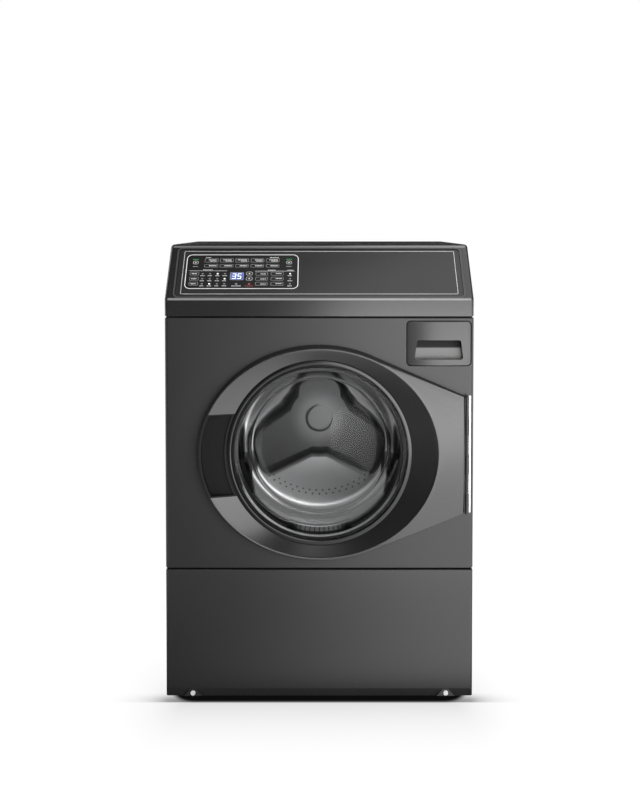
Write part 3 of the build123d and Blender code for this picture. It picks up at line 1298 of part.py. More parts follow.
def fill_hoses():
    """Two hoses from the valve, over the tub, to the dispenser's ports."""
    start = REAR_Y - SHEET - VALVE_DEPTH - FIT_CLEAR
    port_z = DRAWER_TOP - DRAWER_GAP - TRAY_MARGIN + SLIDE_CLEAR + HOUSING_WALL + FIT_CLEAR
    hoses = []
    for valve_x, port_x, lane in ((INLET_X[0], FILL_PORTS_X[0], 150.0), (INLET_X[1], FILL_PORTS_X[1], 200.0)):
        run = [
            (valve_x, start, FILL_Z), (valve_x, lane, FILL_Z), (port_x, lane, FILL_Z),
            (port_x, FILL_PORT_Y, FILL_Z), (port_x, FILL_PORT_Y, port_z),
        ]
        hoses.append(tube(run, FILL_RADIUS, FILL_WALL - FIT_CLEAR, FILL_BEND))
    return hoses


def cord_gland():
    """The bushing in the back that the supply cord comes out of."""
    wide = GLAND_BORE + GLAND_RELIEF
    seat = REAR_Y + GLAND_RELIEF
    collar = ring_y(GLAND_RADIUS + GLAND_LIP, wide, REAR_Y + FIT_CLEAR, seat, GLAND_X, GLAND_Z)
    collar += ring_y(GLAND_RADIUS + GLAND_LIP, GLAND_BORE, seat, REAR_Y + GLAND_COLLAR, GLAND_X, GLAND_Z)
    sleeve = ring_y(GLAND_RADIUS, wide, REAR_Y - GLAND_LENGTH, seat, GLAND_X, GLAND_Z)
    return collar + sleeve


def drain_pump():
    """The drain pump on the base: volute, motor can, inlet and outlet spigots."""
    front, back = PUMP_Y - PUMP_LENGTH, PUMP_Y
    body = rod_y(PUMP_X, PUMP_Z, PUMP_RADIUS, front, back)
    body += rod_y(PUMP_X, PUMP_Z, PUMP_RADIUS - 10, front - 60, front)
    body += rod_y(PUMP_X, PUMP_Z, DRAIN_RADIUS - 3, back - 2, back + 30)
    body += rod_z(PUMP_X, PUMP_Y - PUMP_LENGTH / 2, SUMP_RADIUS, PUMP_Z, PUMP_SPIGOT_Z)
    floor = FOOT_GAP + BASE_WALL + FIT_CLEAR
    body += block(PUMP_X - 30, PUMP_X + 30, front - 50, back - 6, floor, PUMP_Z - 20)
    body -= rod_y(PUMP_X, PUMP_Z, PUMP_RADIUS - PUMP_WALL, front + PUMP_WALL, back - PUMP_WALL)
    body -= rod_y(PUMP_X, PUMP_Z, DRAIN_RADIUS - 6, back - PUMP_WALL - 1, back + 31)
    body -= rod_y(PUMP_X, PUMP_Z, 3 + FIT_CLEAR, front - 30, front + PUMP_WALL + 1)
    return body - rod_z(
        PUMP_X, PUMP_Y - PUMP_LENGTH / 2, SUMP_RADIUS - SUMP_WALL, PUMP_Z + 20, PUMP_SPIGOT_Z + 1
    )


def pump_impeller():
    """The pump's impeller on its shaft, with six vanes."""
    front = PUMP_Y - PUMP_LENGTH + PUMP_WALL + 1
    wheel = rod_y(PUMP_X, PUMP_Z, IMPELLER_RADIUS, front, front + 3)
    wheel += rod_y(PUMP_X, PUMP_Z, 3, front - 30, front + 1)
    wheel += rod_y(PUMP_X, PUMP_Z, 7, front, front + 24)
    axis = Axis((PUMP_X, 0, PUMP_Z), (0, 1, 0))
    vane = block(PUMP_X - 1.5, PUMP_X + 1.5, front, front + 22, PUMP_Z + 4, PUMP_Z + IMPELLER_RADIUS)
    for i in range(6):
        wheel += vane.rotate(axis, 60 * i)
    return wheel


def sump_hose():
    """The hose from the tub's sump spigot down to the pump's inlet."""
    pump_y = PUMP_Y - PUMP_LENGTH / 2
    top, bottom = SUMP_SPIGOT_Z - FIT_CLEAR, PUMP_SPIGOT_Z + FIT_CLEAR
    middle = (top + bottom) / 2
    run = [
        (0, SUMP_Y, top), (0, SUMP_Y, middle), (PUMP_X, pump_y, middle), (PUMP_X, pump_y, bottom),
    ]
    return tube(run, SUMP_RADIUS, SUMP_WALL, (top - bottom) / 2 - 3)


def drain_hose():
    """The hose from the pump to the outlet in the back."""
    run = [
        (PUMP_X, PUMP_Y + FIT_CLEAR, PUMP_Z), (PUMP_X, 130, PUMP_Z), (OUTLET_X, 220, OUTLET_Z),
        (OUTLET_X, REAR_Y - 30, OUTLET_Z),
    ]
    return tube(run, DRAIN_RADIUS, 3 - FIT_CLEAR, 60)


def drain_outlet():
    """The bulkhead spigot in the back for the drain hose."""
    back = REAR_Y + OUTLET_LENGTH
    spigot = ring_y(OUTLET_RADIUS, OUTLET_BORE, REAR_Y - 40, back, OUTLET_X, OUTLET_Z)
    flange = ring_y(
        OUTLET_RADIUS + 10, OUTLET_RADIUS - 1, REAR_Y - SHEET - 4, REAR_Y - SHEET - FIT_CLEAR,
        OUTLET_X, OUTLET_Z,
    )
    return spigot + flange


def main():
    os.makedirs("parts", exist_ok=True)
    singles = [
        cabinet_wrap, base_frame, rear_access_cover, spring_brace, top_panel, front_panel, lower_front_panel,
        console_housing, control_overlay, display_window, control_board, dispenser_housing, water_valve,
        cord_gland,
        drain_pump, drain_hose, drain_outlet, door_lock, hinge_cabinet_leaf, hinge_pin, tub_rear, tub_front,
        bearing_housing, shaft_seal, drive_belt, drive_motor, counterweight, dispenser_hose, sump_hose,
        door_gasket,
        basket, basket_back, drum_spider, drum_shaft, drum_pulley, motor_pulley, pump_impeller, lock_bolt,
        door_ring, door_inner_frame, door_glass, door_handle, door_bezel, hinge_door_leaf, door_strike,
        drawer_front, drawer_tray,
    ]
    groups = [
        leveling_feet, panel_screws, lower_panel_screws, drum_bearings, baffles, suspension_springs,
        damper_cylinders, damper_rods, fill_hoses,
    ]
    for make in singles:
        save(make.__name__, make())
    for make in groups:
        save(make.__name__, *make())
    for name, place in KEYS.items():
        save(name, key(place))


main()
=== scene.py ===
from math import radians

import bpy
import numpy as np
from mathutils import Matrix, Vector


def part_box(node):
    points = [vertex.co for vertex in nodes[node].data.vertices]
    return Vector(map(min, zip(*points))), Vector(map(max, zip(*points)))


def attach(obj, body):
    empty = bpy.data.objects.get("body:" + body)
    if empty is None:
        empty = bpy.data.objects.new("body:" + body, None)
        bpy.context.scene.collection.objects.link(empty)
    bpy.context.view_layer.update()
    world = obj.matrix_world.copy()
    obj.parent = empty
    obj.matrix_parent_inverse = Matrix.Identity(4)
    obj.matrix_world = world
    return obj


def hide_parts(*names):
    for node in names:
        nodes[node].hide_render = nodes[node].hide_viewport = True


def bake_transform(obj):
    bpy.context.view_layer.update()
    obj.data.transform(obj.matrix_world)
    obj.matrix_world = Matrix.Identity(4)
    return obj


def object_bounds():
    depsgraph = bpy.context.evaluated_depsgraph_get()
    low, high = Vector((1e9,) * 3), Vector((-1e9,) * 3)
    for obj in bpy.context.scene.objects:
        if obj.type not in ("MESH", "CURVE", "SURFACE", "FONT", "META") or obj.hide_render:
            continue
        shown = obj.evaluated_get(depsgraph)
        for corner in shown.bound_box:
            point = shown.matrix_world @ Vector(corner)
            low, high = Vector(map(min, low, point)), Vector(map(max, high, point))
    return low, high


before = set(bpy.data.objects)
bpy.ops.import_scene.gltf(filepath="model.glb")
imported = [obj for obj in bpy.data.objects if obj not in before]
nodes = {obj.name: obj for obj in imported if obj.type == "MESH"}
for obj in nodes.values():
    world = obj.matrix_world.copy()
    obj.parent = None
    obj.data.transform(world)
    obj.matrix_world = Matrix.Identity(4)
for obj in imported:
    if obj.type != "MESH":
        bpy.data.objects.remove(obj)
cad_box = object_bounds()
scene = bpy.context.scene
scene.view_settings.view_transform = "Standard"


# The base pan: a steel pressing that carries the whole machine, with the side sheet screwed to it.
# It is drawn from zinc-coated sheet, so it shows the coating's pale spangle.
class Shade:
    """A shader socket. Arithmetic on it adds Math nodes, and node() adds any other node."""

    def __init__(self, tree, socket=None):
        self.tree, self.socket = tree, socket

    def node(self, kind, settings=None, inputs=None, out=0):
        """Adds a node, sets its settings, and then sets or links its sockets."""
        made = self.tree.nodes.new("ShaderNode" + kind)
        for key, value in (settings or {}).items():
            setattr(made, key, value)
        for key, value in (inputs or {}).items():
            if isinstance(value, Shade):
                self.tree.links.new(value.socket, made.inputs[key])
            else:
                made.inputs[key].default_value = value
        return Shade(self.tree, made.outputs[out])

    def place(self):
        """The piece's own coordinates in metres, as three values."""
        parts = self.node("SeparateXYZ", inputs={"Vector": self.node("TexCoord", out="Object")})
        return [Shade(self.tree, socket) for socket in parts.socket.node.outputs]

    def math(self, operation, *others):
        """A Math node with this value in its first socket."""
        return self.node("Math", {"operation": operation}, dict(enumerate((self, *others))))

    def hypot(self, other):
        """The length of the line that runs this far one way and other far square to it."""
        return (self * self + other * other).math("SQRT")

    def fade(self, start, end, low=0.0, high=1.0):
        """A smooth step: low where this value is at start, and high where it is at end."""
        inputs = {"Value": self, 1: start, 2: end, 3: low, 4: high}
        return self.node("MapRange", {"interpolation_type": "SMOOTHSTEP"}, inputs)

    def mix(self, low, high):
        """This value as the share of high in a colour mixed with low."""
        return self.node("Mix", {"data_type": "RGBA"}, {0: self, 6: low, 7: high}, 2)

    def bump(self, depth, strength=1.0):
        """This value as a height in metres times depth, for a Normal socket."""
        return self.node("Bump", inputs={"Height": self, "Distance": depth, "Strength": strength})

    def __add__(self, other):
        return self.math("ADD", other)

    def __sub__(self, other):
        return self.math("SUBTRACT", other)

    def __rsub__(self, other):
        return self.node("Math", {"operation": "SUBTRACT"}, {0: other, 1: self})

    def __mul__(self, other):
        return self.math("MULTIPLY", other)

    def __truediv__(self, other):
        return self.math("DIVIDE", other)

    __radd__, __rmul__ = __add__, __mul__


def grey(value, warm=0.0):
    """A neutral colour, a little warmer or cooler by warm."""
    return (value * (1 + warm), value, value * (1 - warm), 1.0)


def finish(name, values, vary):
    """A Principled material: values sit on its sockets, and vary(shade) gives what changes over the piece."""
    made = bpy.data.materials.new(name)
    made.use_nodes = True
    tree = made.node_tree
    shader = tree.nodes["Principled BSDF"]
    for socket, value in values.items():
        shader.inputs[socket].default_value = value
    for socket, shade in vary(Shade(tree)).items():
        tree.links.new(shade.socket, shader.inputs[socket])
    return made


def noise(shade, scale, detail=2.0, stretch=(1.0, 1.0, 1.0)):
    """Noise on the piece's own coordinates, in features per metre, stretched along the axes."""
    place = shade.node("TexCoord", out="Object")
    place = shade.node("Mapping", inputs={"Vector": place, "Scale": stretch})
    return shade.node("TexNoise", inputs={"Vector": place, "Scale": scale, "Detail": detail})


def dress(names, material, crease=32):
    """Gives CAD nodes a finish, welds their loose triangles and shades them smooth up to the crease angle."""
    for name in names:
        piece = nodes[name]
        piece.data.materials.clear()
        piece.data.materials.append(material)
        piece.data.polygons.foreach_set("use_smooth", np.ones(len(piece.data.polygons), bool))
        weld = piece.modifiers.new("weld", "WELD")
        weld.merge_threshold = 2e-6
        split = piece.modifiers.new("crease", "EDGE_SPLIT")
        split.split_angle = radians(crease)


def zinc(shade):
    """Hot-dipped zinc: each cell of the spangle has its own grey."""
    place = shade.node("TexCoord", out="Object")
    spangle = shade.node("TexVoronoi", inputs={"Vector": place, "Scale": 140.0}, out="Color")
    tone = spangle.node("RGBToBW", inputs={"Color": spangle})
    return {"Base Color": tone.mix(grey(0.36, -0.02), grey(0.50, -0.02)), "Roughness": 0.34 + tone * 0.16}


galvanised = finish("galvanised_sheet", {"Metallic": 0.85}, zinc)
dress(["base_frame"], galvanised)


# The feet: black rubber pads moulded on plated studs.
# Each stud screws into the pan, and a nut locks it there once the machine stands level.
def rubber_grain(shade):
    """Black rubber: a fine grain under a drift of pale dust."""
    grain = noise(shade, 900.0, 3.0)
    dust = noise(shade, 22.0, 4.0)
    return {
        "Base Color": dust.mix(grey(0.016), grey(0.034)), "Roughness": 0.62 + dust * 0.2,
        "Normal": grain.bump(0.00006),
    }


black_rubber = finish("black_rubber", {"Specular IOR Level": 0.35}, rubber_grain)
dress(["leveling_feet"], black_rubber)


# The cabinet: one sheet of steel wraps both sides and the back, and the lid closes it from above.
# The steel is enamelled in satin charcoal, whose faint orange peel breaks up the reflections.
def orange_peel(shade):
    """Baked enamel: a slow drift of tone under the fine waves of its surface."""
    peel = noise(shade, 330.0, 2.0)
    drift = noise(shade, 3.0, 3.0)
    return {
        "Base Color": drift.mix(grey(0.022, 0.01), grey(0.027, 0.01)), "Roughness": 0.33 + drift * 0.06,
        "Normal": peel.bump(0.00005, 0.35),
    }


enamel = finish("charcoal_enamel", {"Specular IOR Level": 0.5}, orange_peel)
dress(["cabinet_wrap", "top_panel"], enamel)


# The suspension: two friction dampers stand on the pan, and two coil springs hang the tub from the brace.
# The springs are wound from music wire with straight shanks at both ends.
def brushed(shade):
    """Drawn steel: fine scratches that run from front to back."""
    scratch = noise(shade, 160.0, 3.0, (1.0, 0.04, 1.0))
    return {"Base Color": scratch.mix(grey(0.45), grey(0.66)), "Roughness": 0.24 + scratch * 0.16}


bright_steel = finish("bright_steel", {"Metallic": 1.0}, brushed)
black_enamel = finish("black_enamel", {}, lambda shade: {
    "Base Color": noise(shade, 8.0).mix(grey(0.012), grey(0.022)),
    "Roughness": 0.38 + noise(shade, 40.0) * 0.12, "Normal": noise(shade, 420.0).bump(0.00004, 0.4),
})
dress(["spring_brace"], galvanised)
dress(["damper_rods"], bright_steel)
dress(["damper_cylinders"], black_enamel)


def mesh_piece(name, points, faces, material, smooth=40):
    """A mesh object from an array of points and lists of point numbers, sharp past the smooth angle."""
    mesh = bpy.data.meshes.new(name)
    mesh.from_pydata(np.asarray(points, float).reshape(-1, 3), [], faces)
    mesh.materials.append(material)
    mesh.polygons.foreach_set("use_smooth", np.ones(len(mesh.polygons), bool))
    mesh.set_sharp_from_angle(angle=radians(smooth))
    piece = bpy.data.objects.new(name, mesh)
    scene.collection.objects.link(piece)
    return piece


def grid_faces(rows, columns, wrap_rows=False, wrap_columns=False):
    """The quads of a grid of points numbered row by row, closed on itself either way if asked."""
    r = np.arange(rows if wrap_rows else rows - 1)[:, None]
    c = np.arange(columns if wrap_columns else columns - 1)[None, :]
    r2, c2 = (r + 1) % rows, (c + 1) % columns
    quads = np.stack([r * columns + c, r * columns + c2, r2 * columns + c2, r2 * columns + c], -1)
    return quads.reshape(-1, 4).tolist()


def wire(points, radius, sides=10):
    """A round wire along points: a circle set square to the path at each one, with both ends closed."""
    points = np.asarray(points, float)
    ahead = np.gradient(points, axis=0)
    ahead /= np.linalg.norm(ahead, axis=1, keepdims=True)
    aside = (0.02, 1.0, 0.05)
    across = np.cross(ahead, aside)
    across /= np.linalg.norm(across, axis=1, keepdims=True)
    up = np.cross(across, ahead)
    turn = np.linspace(0, 2 * np.pi, sides, endpoint=False)
    ring = across[:, None] * np.cos(turn)[None, :, None] + up[:, None] * np.sin(turn)[None, :, None]
    grid = points[:, None] + radius * ring
    faces = grid_faces(len(points), sides, wrap_columns=True)
    last = (len(points) - 1) * sides
    return grid, faces + [list(range(sides))[::-1], list(range(last, last + sides))]


coil_radius, wire_radius, turns, points_to_turn, swell_rate = 0.0138, 0.0022, 26, 20, 14
coil_inset, end_gap, shank = 0.016, 0.003, 0.02
spring_low, spring_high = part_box("suspension_springs")
for side, name in ((-1, "spring_left"), (1, "spring_right")):
    along = np.linspace(0, 1, turns * points_to_turn)
    swell = np.clip(np.minimum(along, 1 - along) * swell_rate, 0, 1)
    x0 = side * (spring_high.x - coil_inset)
    y0 = (spring_low.y + spring_high.y) / 2
    path = np.stack([
        x0 + coil_radius * swell * np.cos(2 * np.pi * turns * along),
        y0 + coil_radius * swell * np.sin(2 * np.pi * turns * along),
        spring_low.z + end_gap + (spring_high.z - spring_low.z - 2 * end_gap) * along,
    ], 1)
    spring = mesh_piece(name, *wire(path, wire_radius), bright_steel, 60)
    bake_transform(spring)
    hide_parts("suspension_springs")


# The tub: two halves moulded in grey filled plastic and clamped together at a flange.
# Behind it sit the cast bearing housing, the seal, the pulley and the belt.
# The motor hangs under it, and the ballast is clamped on top.
def moulded(tone, spread, rough):
    """A moulded plastic: one tone with a slight drift, and a fine spark-eroded grain."""
    def vary(shade):
        grain = noise(shade, 1200.0, 2.0)
        drift = noise(shade, 5.0, 2.0)
        return {
            "Base Color": drift.mix(grey(tone), grey(tone * (1 + spread))), "Roughness": rough + drift * 0.1,
            "Normal": grain.bump(0.00003, 0.5),
        }
    return vary


def cast(low, high, rough, clouds, pits, depth, strength):
    """A casting: a cloudy tone from low to high, over the pits that the sand leaves."""
    def vary(shade):
        cloud = noise(shade, clouds, 4.0)
        return {
            "Base Color": cloud.mix(grey(low), grey(high)), "Roughness": rough + cloud * 0.2,
            "Normal": noise(shade, *pits).bump(depth, strength),
        }
    return vary


tub_plastic = finish("tub_plastic", {}, moulded(0.26, 0.25, 0.48))
aluminium = cast(0.42, 0.58, 0.42, 30.0, (500.0, 3.0), 0.0001, 0.5)
iron = cast(0.10, 0.17, 0.6, 25.0, (260.0, 4.0), 0.0003, 0.6)
cast_metal = finish("cast_aluminium", {"Metallic": 0.9}, aluminium)
cast_iron = finish("cast_iron", {"Metallic": 0.6}, iron)
dress(["tub_rear", "tub_front"], tub_plastic)
dress(["bearing_housing", "drum_spider", "drum_pulley", "motor_pulley"], cast_metal)
dress(["drive_motor", "counterweight"], cast_iron)
dress(["drive_belt", "shaft_seal"], black_rubber)
dress(["drum_shaft", "drum_bearings"], bright_steel)


# The drum: a rolled and drawn stainless basket, punched all over, with a pressed back and hollow lifters.
# Its inside shows through the door, so its wall, its holes and the pressed star are all drawn in full.
# A painted glow stands in for the light that bounces about inside it: faint on the wall, brighter round the
# back's rim.
drum_low, drum_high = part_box("basket")
AXIS_Z = (drum_low.z + drum_high.z) / 2
drum_radius, drum_front, drum_back = drum_high.x, drum_low.y, drum_high.y
mouth_radius, skin, shoulder, hem = 0.196, 0.001, 0.016, 0.006
holes_round, first_hole, hole_pitch = 120, -0.2, 0.0125
vents_round, vent_start, vent_pitch, vent_step, vent_radius = 72, 0.192, 0.010, 0.0175, 0.0021


def turned(name, profile, material, count=192, smooth=40):
    """A turned piece: a closed profile of (radius, y) points, carried round the drum's axis."""
    profile = np.asarray(profile, float)
    turn = np.linspace(0, 2 * np.pi, count, endpoint=False)
    radius, y = profile[:, :1], profile[:, 1:2]
    grid = np.stack([radius * np.sin(turn), y + 0 * turn, AXIS_Z + radius * np.cos(turn)], -1)
    return mesh_piece(name, grid, grid_faces(len(profile), count, True, True), material, smooth)


def arc(centre, radius, start, end, count=8):
    """Points on a circular arc in (radius, y), between two angles in degrees."""
    angle = np.radians(np.linspace(start, end, count))
    return np.stack([centre[0] + radius * np.cos(angle), centre[1] + radius * np.sin(angle)], 1)


def punched(shade):
    """Brushed steel with staggered round holes: dots on a grid of angle and depth, each in a small dimple."""
    x, y, z = shade.place()
    around = x.math("ARCTAN2", z - AXIS_Z) * (holes_round / (2 * np.pi))
    depth = (y - first_hole) / hole_pitch
    row = depth.math("FLOOR")
    around = around + row.math("MODULO", 2.0) * 0.5
    far = (around.math("FRACT") - 0.5).hypot(depth.math("FRACT") - 0.5)
    hole = far.math("LESS_THAN", 0.13)
    dimple = far.node("MapRange", inputs={"Value": far, 1: 0.11, 2: 0.24})
    scratch = noise(shade, 60.0, 4.0, (1.0, 5.0, 1.0))
    return {
        "Base Color": hole.mix(scratch.mix(grey(0.22), grey(0.33)), grey(0.01)),
        "Roughness": 0.26 + scratch * 0.14, "Metallic": 1.0 - hole, "Normal": dimple.bump(0.0006, 0.6),
        # Painted light: the steel between the holes glows faintly, standing in for light bounced about inside
        # the drum.
        "Emission Color": hole.mix(grey(0.098), grey(0.0)),
    }


shoulder_at = (drum_radius - shoulder, drum_front + shoulder)
hem_at = (mouth_radius + hem, drum_front + hem)
basket_profile = np.concatenate([
    [(drum_radius, drum_back)], arc(shoulder_at, shoulder, 0, -90), arc(hem_at, hem, -90, -180),
    [(mouth_radius, drum_front + 2 * hem), (mouth_radius + skin, drum_front + 2 * hem)],
    arc(hem_at, hem - skin, -180, -90), arc(shoulder_at, shoulder - skin, -90, 0),
    [(drum_radius - skin, drum_back)],
])
basket_steel = finish("punched_stainless", {"Emission Strength": 1.0}, punched)
basket = turned("basket_skin", basket_profile, basket_steel, 240)
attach(basket, "drum")
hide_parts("basket")


def ramp(value, low, high):
    """A straight climb from 0 at low to 1 at high."""
    return np.clip((value - low) / (high - low), 0, 1)


def eased(value, low, high):
    """The same climb, level at both ends."""
    t = ramp(value, low, high)
    return t * t * (3 - 2 * t)


plate_front, plate_rear = drum_back - 0.0016, drum_back - 0.0001
star_height, hub_rise, back_round, back_edge = 0.032, 0.0014, 0.042, drum_radius - 0.0015
hub_step, dome_slope, arm_end = (0.030, 0.036), (0.078, 0.106), (0.195, 0.225)
arm_half, arm_taper, arm_slope, arm_start = 0.064, 0.07, (-0.004, 0.022), (-0.05, -0.01)


def star_back(name, material):
    """The basket's back on a grid of radius and angle. Its height is the greatest of a dome at the hub, three
    arms with straight slopes at their sides, and a quarter circle at the edge, where it meets the wall."""
    bend = back_edge - back_round
    bent = bend + back_round * np.sin(np.linspace(0.05, np.pi / 2, 20))
    rings = np.concatenate([[0.0008], np.linspace(0.004, bend - 0.001, 90), bent])
    spokes = np.linspace(0, 2 * np.pi, 240, endpoint=False)
    radius, angle = np.meshgrid(rings, spokes, indexing="ij")
    x, z = radius * np.sin(angle), radius * np.cos(angle)
    star = 1 - ramp(radius, *dome_slope)
    for turn in np.radians([0, 120, 240]):
        along = x * np.sin(turn) + z * np.cos(turn)
        side = np.abs(x * np.cos(turn) - z * np.sin(turn))
        half = arm_half - arm_taper * np.clip(along, 0, 0.25)
        arm = (1 - ramp(side - half, *arm_slope)) * ramp(along, *arm_start)
        star = np.maximum(star, arm * (1 - eased(radius, *arm_end)))
    lift = star * star_height + (1 - eased(radius, *hub_step)) * hub_rise
    lift = np.maximum(lift, back_round * (1 - np.sqrt(1 - ramp(radius, bend, back_edge) ** 2)))
    front = np.stack([x, plate_front - lift, AXIS_Z + z], -1)
    rear = np.stack([x[-1], np.full_like(x[-1], plate_rear), AXIS_Z + z[-1]], -1)
    rows, columns = len(rings) + 1, len(spokes)
    last = (rows - 1) * columns
    faces = grid_faces(rows, columns, wrap_columns=True)
    faces += [list(range(columns)), list(range(last, last + columns))[::-1]]
    return mesh_piece(name, np.concatenate([front, rear[None]]), faces, material, 50)


def back_with_painted_light(shade):
    """Satin steel with a ring of vents, lighter on the flat than on the star; painted shade darkens the
    star's slopes and the upper flat, and a painted glow lights the rim.
    """
    x, depth, z = shade.place()
    up = z - AXIS_Z
    radius = x.hypot(up)
    ring = (radius - vent_start) / vent_pitch
    row = ring.math("FLOOR")
    turn = x.math("ARCTAN2", up) * (vents_round / (2 * np.pi)) + row * 0.5
    across = (turn.math("FRACT") - 0.5) * vent_step
    vent = across.hypot((ring.math("FRACT") - 0.5) * vent_pitch).math("LESS_THAN", vent_radius)
    vent = vent * row.math("COMPARE", 0.5, 0.6) * depth.math("GREATER_THAN", drum_back - 0.006)
    flat = depth.fade(drum_back - 0.024, drum_back - 0.004)
    # Painted shade: the star's slopes are darkened where they turn away from the light.
    slope = depth.node("MapRange", inputs={"Value": depth, 1: drum_back - 0.031, 2: drum_back - 0.004})
    slope = slope * (1.0 - slope) * 3.6 * radius.math("LESS_THAN", 0.215)
    star_tone = radius.fade(0.085, 0.03).mix(grey(0.084), grey(0.182))
    # Painted light and shade: the flat is pale below the axis and dark above it.
    painted_flat_light = up.fade(-0.03, 0.05).mix(grey(0.57), grey(0.21))
    steel = slope.mix(flat.mix(star_tone, painted_flat_light), grey(0.012))
    return {
        "Base Color": vent.mix(steel, grey(0.004)), "Roughness": 0.30 + noise(shade, 40.0, 4.0) * 0.10,
        # Painted glow round the rim, where the back bends into the wall and would catch the light.
        "Metallic": 1.0 - vent, "Emission Color": radius.fade(0.218, 0.236).mix(grey(0.0), grey(0.155)),
    }


back = star_back("basket_star", finish("star_stainless", {"Emission Strength": 1.0}, back_with_painted_light))
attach(back, "drum")
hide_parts("basket_back")
plain_steel = finish("plain_stainless", {"Metallic": 1.0}, lambda shade: {
    "Base Color": noise(shade, 40.0, 4.0).mix(grey(0.19), grey(0.24)),
    "Roughness": 0.30 + noise(shade, 40.0, 4.0) * 0.10,
})
dress(["baffles"], plain_steel, 40)


# The gasket: one bellows moulded in grey-black rubber.
# It is clamped to the rim of the panel's hole and to the tub's mouth, and its fold takes up the tub's travel.
FRONT_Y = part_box("front_panel")[0].y
fold_at, still_end, moving_end = (0.2195, 0.0385), FRONT_Y + 0.02, FRONT_Y + 0.068
gasket_profile = np.concatenate([
    [(0.2046, 0.016), (0.2046, 0.0015)], arc((0.194, 0.005), 0.004, -90, -200),
    [(0.1985, 0.019), (0.216, 0.028)], arc(fold_at, 0.0042, -60, 60),
    [(0.212, 0.046), (0.206, 0.056), (0.208, 0.075)],
    [(0.229, 0.075), (0.229, 0.069), (0.213, 0.067), (0.212, 0.058)],
    arc(fold_at, 0.0075, 60, -60), [(0.208, 0.0245)],
]) + (0, FRONT_Y)
gasket = turned("gasket_bellows", gasket_profile, black_rubber, smooth=60)
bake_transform(gasket)
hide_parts("door_gasket")


# The water parts: a moulded inlet valve, the dispenser box, the drain pump and the spigot at the back.
# Rubber hoses join them inside the cabinet.
white_plastic = finish("white_plastic", {}, moulded(0.62, 0.12, 0.38))
black_plastic = finish("black_plastic", {}, moulded(0.014, 0.5, 0.42))
dress(["dispenser_housing", "water_valve"], white_plastic)
dress(["drain_pump", "pump_impeller", "drain_outlet", "cord_gland"], black_plastic)
dress(["fill_hoses", "drain_hose"], black_rubber)


def hose(name, node, route, radius):
    """A flexible hose: a round bar along the Bezier curve of its route's corners, which are mixed pair by
    pair, again and again, in the share that the curve has run."""
    t = np.linspace(0, 1, 40)[:, None]
    path = np.asarray(route, float)[:, None]
    while len(path) > 1:
        path = path[:-1] * (1 - t) + path[1:] * t
    piece = mesh_piece(name, *wire(path[0], radius, 24), black_rubber, 60)
    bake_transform(piece)
    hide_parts(node)


soap_route = [(0.306, -0.140, 0.7946), (0.306, -0.140, 0.655), (0.2885, -0.140, 0.640)]
hose("soap_hose", "dispenser_hose", soap_route, 0.0148)
sump_route = [(-0.130, -0.018, 0.1681), (-0.130, -0.018, 0.215), (0.0, 0.060, 0.203), (0.0, 0.060, 0.2499)]
hose("sump_bellows", "sump_hose", sump_route, 0.0218)


# The front: two pressed steel panels in the same satin enamel, screwed to the wrap's flanges.
# Two white domed screws hold the lower one at its toe.
dress(["front_panel", "lower_front_panel"], enamel)
dress(["lower_panel_screws"], finish("white_cap", {}, moulded(0.74, 0.06, 0.3)))


# The door ring: one charcoal moulding, an oval dish inside a proud ridge, with a flap down to the hinge.
# Its side walls are black, and the black runs on over the outer part of its round edge as painted shade,
# which widens the dark band round the door. The grip is let into its left side.
half_x, half_z, hinge_x = 0.266, 0.234, 0.319
hinge_low, hinge_high = -0.1335, 0.1255
grip_low, grip_high = -0.0955, 0.0875
proud, rest, edge_round, skirt = 0.030, 0.0045, 0.0028, 0.0045
bore, ridge_inset, ridge_end, ridge_drop, dish_fall = 0.205, 0.0032, 0.0066, 0.0009, 0.0181
flap_x, flap_z, flap_fall, dark_band_rows = 0.106, 0.132, 0.018, 5


def flap_height(x, z):
    """How proud the door's front is at a point: full inside the oval, and falling evenly outside it, by the
    share of the way to a bigger oval, which is found by halving."""
    low, high = np.zeros_like(x), np.ones_like(x)
    for _ in range(40):
        mid = (low + high) / 2
        outside = (x / (half_x + flap_x * mid)) ** 2 + (z / (half_z + flap_z * mid)) ** 2 > 1
        low, high = np.where(outside, mid, low), np.where(outside, high, mid)
    return proud - flap_fall * np.where(low < 1e-6, 0, low)


def tangent(x, z, side):
    """The oval's own angle where a line from (x, z) touches it."""
    a, b = x / half_x, z / half_z
    return np.arctan2(b, a) + side * np.arccos(1 / np.hypot(a, b))


top_touch, low_touch = tangent(hinge_x, hinge_high, 1), tangent(hinge_x, hinge_low, -1)


def door_edge(angle):
    """The door's outline: the oval, drawn out on the right to the hinge edge by two lines that touch it."""
    x, z = half_x * np.cos(angle), half_z * np.sin(angle)
    reach = np.full_like(x, hinge_x) / np.where(x > 1e-6, x, 1e-6)
    for touch, corner in ((top_touch, (hinge_x, hinge_high)), (low_touch, (hinge_x, hinge_low))):
        touch_x, touch_z = half_x * np.cos(touch), half_z * np.sin(touch)
        square_x, square_z = corner[1] - touch_z, touch_x - corner[0]
        away = square_x * touch_x + square_z * touch_z
        toward = (square_x * x + square_z * z) * np.sign(away)
        reach = np.minimum(reach, np.abs(away) / np.where(toward > 1e-9, toward, 1e-9))
    flap = (angle < top_touch) & (angle > low_touch)
    reach = np.where(flap, reach, 1.0)
    return x * reach, z * reach


def grip_span(height):
    """The angles of the grip's upper and lower edge on an oval of that half height."""
    return np.pi - np.arcsin(grip_high / height), -np.pi + np.arcsin(-grip_low / height)


def ring_columns(height):
    """Angles from the grip's upper edge, over the top, to its lower edge, with one at each hinge corner."""
    start, end = grip_span(half_z)
    hinge_turns = np.arctan2(np.array([hinge_high, hinge_low]) / half_z, hinge_x / half_x)
    share = np.unique(np.concatenate([np.linspace(0, 1, 360), (start - hinge_turns) / (start - end)]))
    first, last = grip_span(height)
    return first + share * (last - first)


def dish_row(across, upright, height):
    """One row of the dish: an oval of those half sizes, all at one height."""
    turn = ring_columns(upright)
    return across * np.cos(turn), upright * np.sin(turn), np.full_like(turn, height)


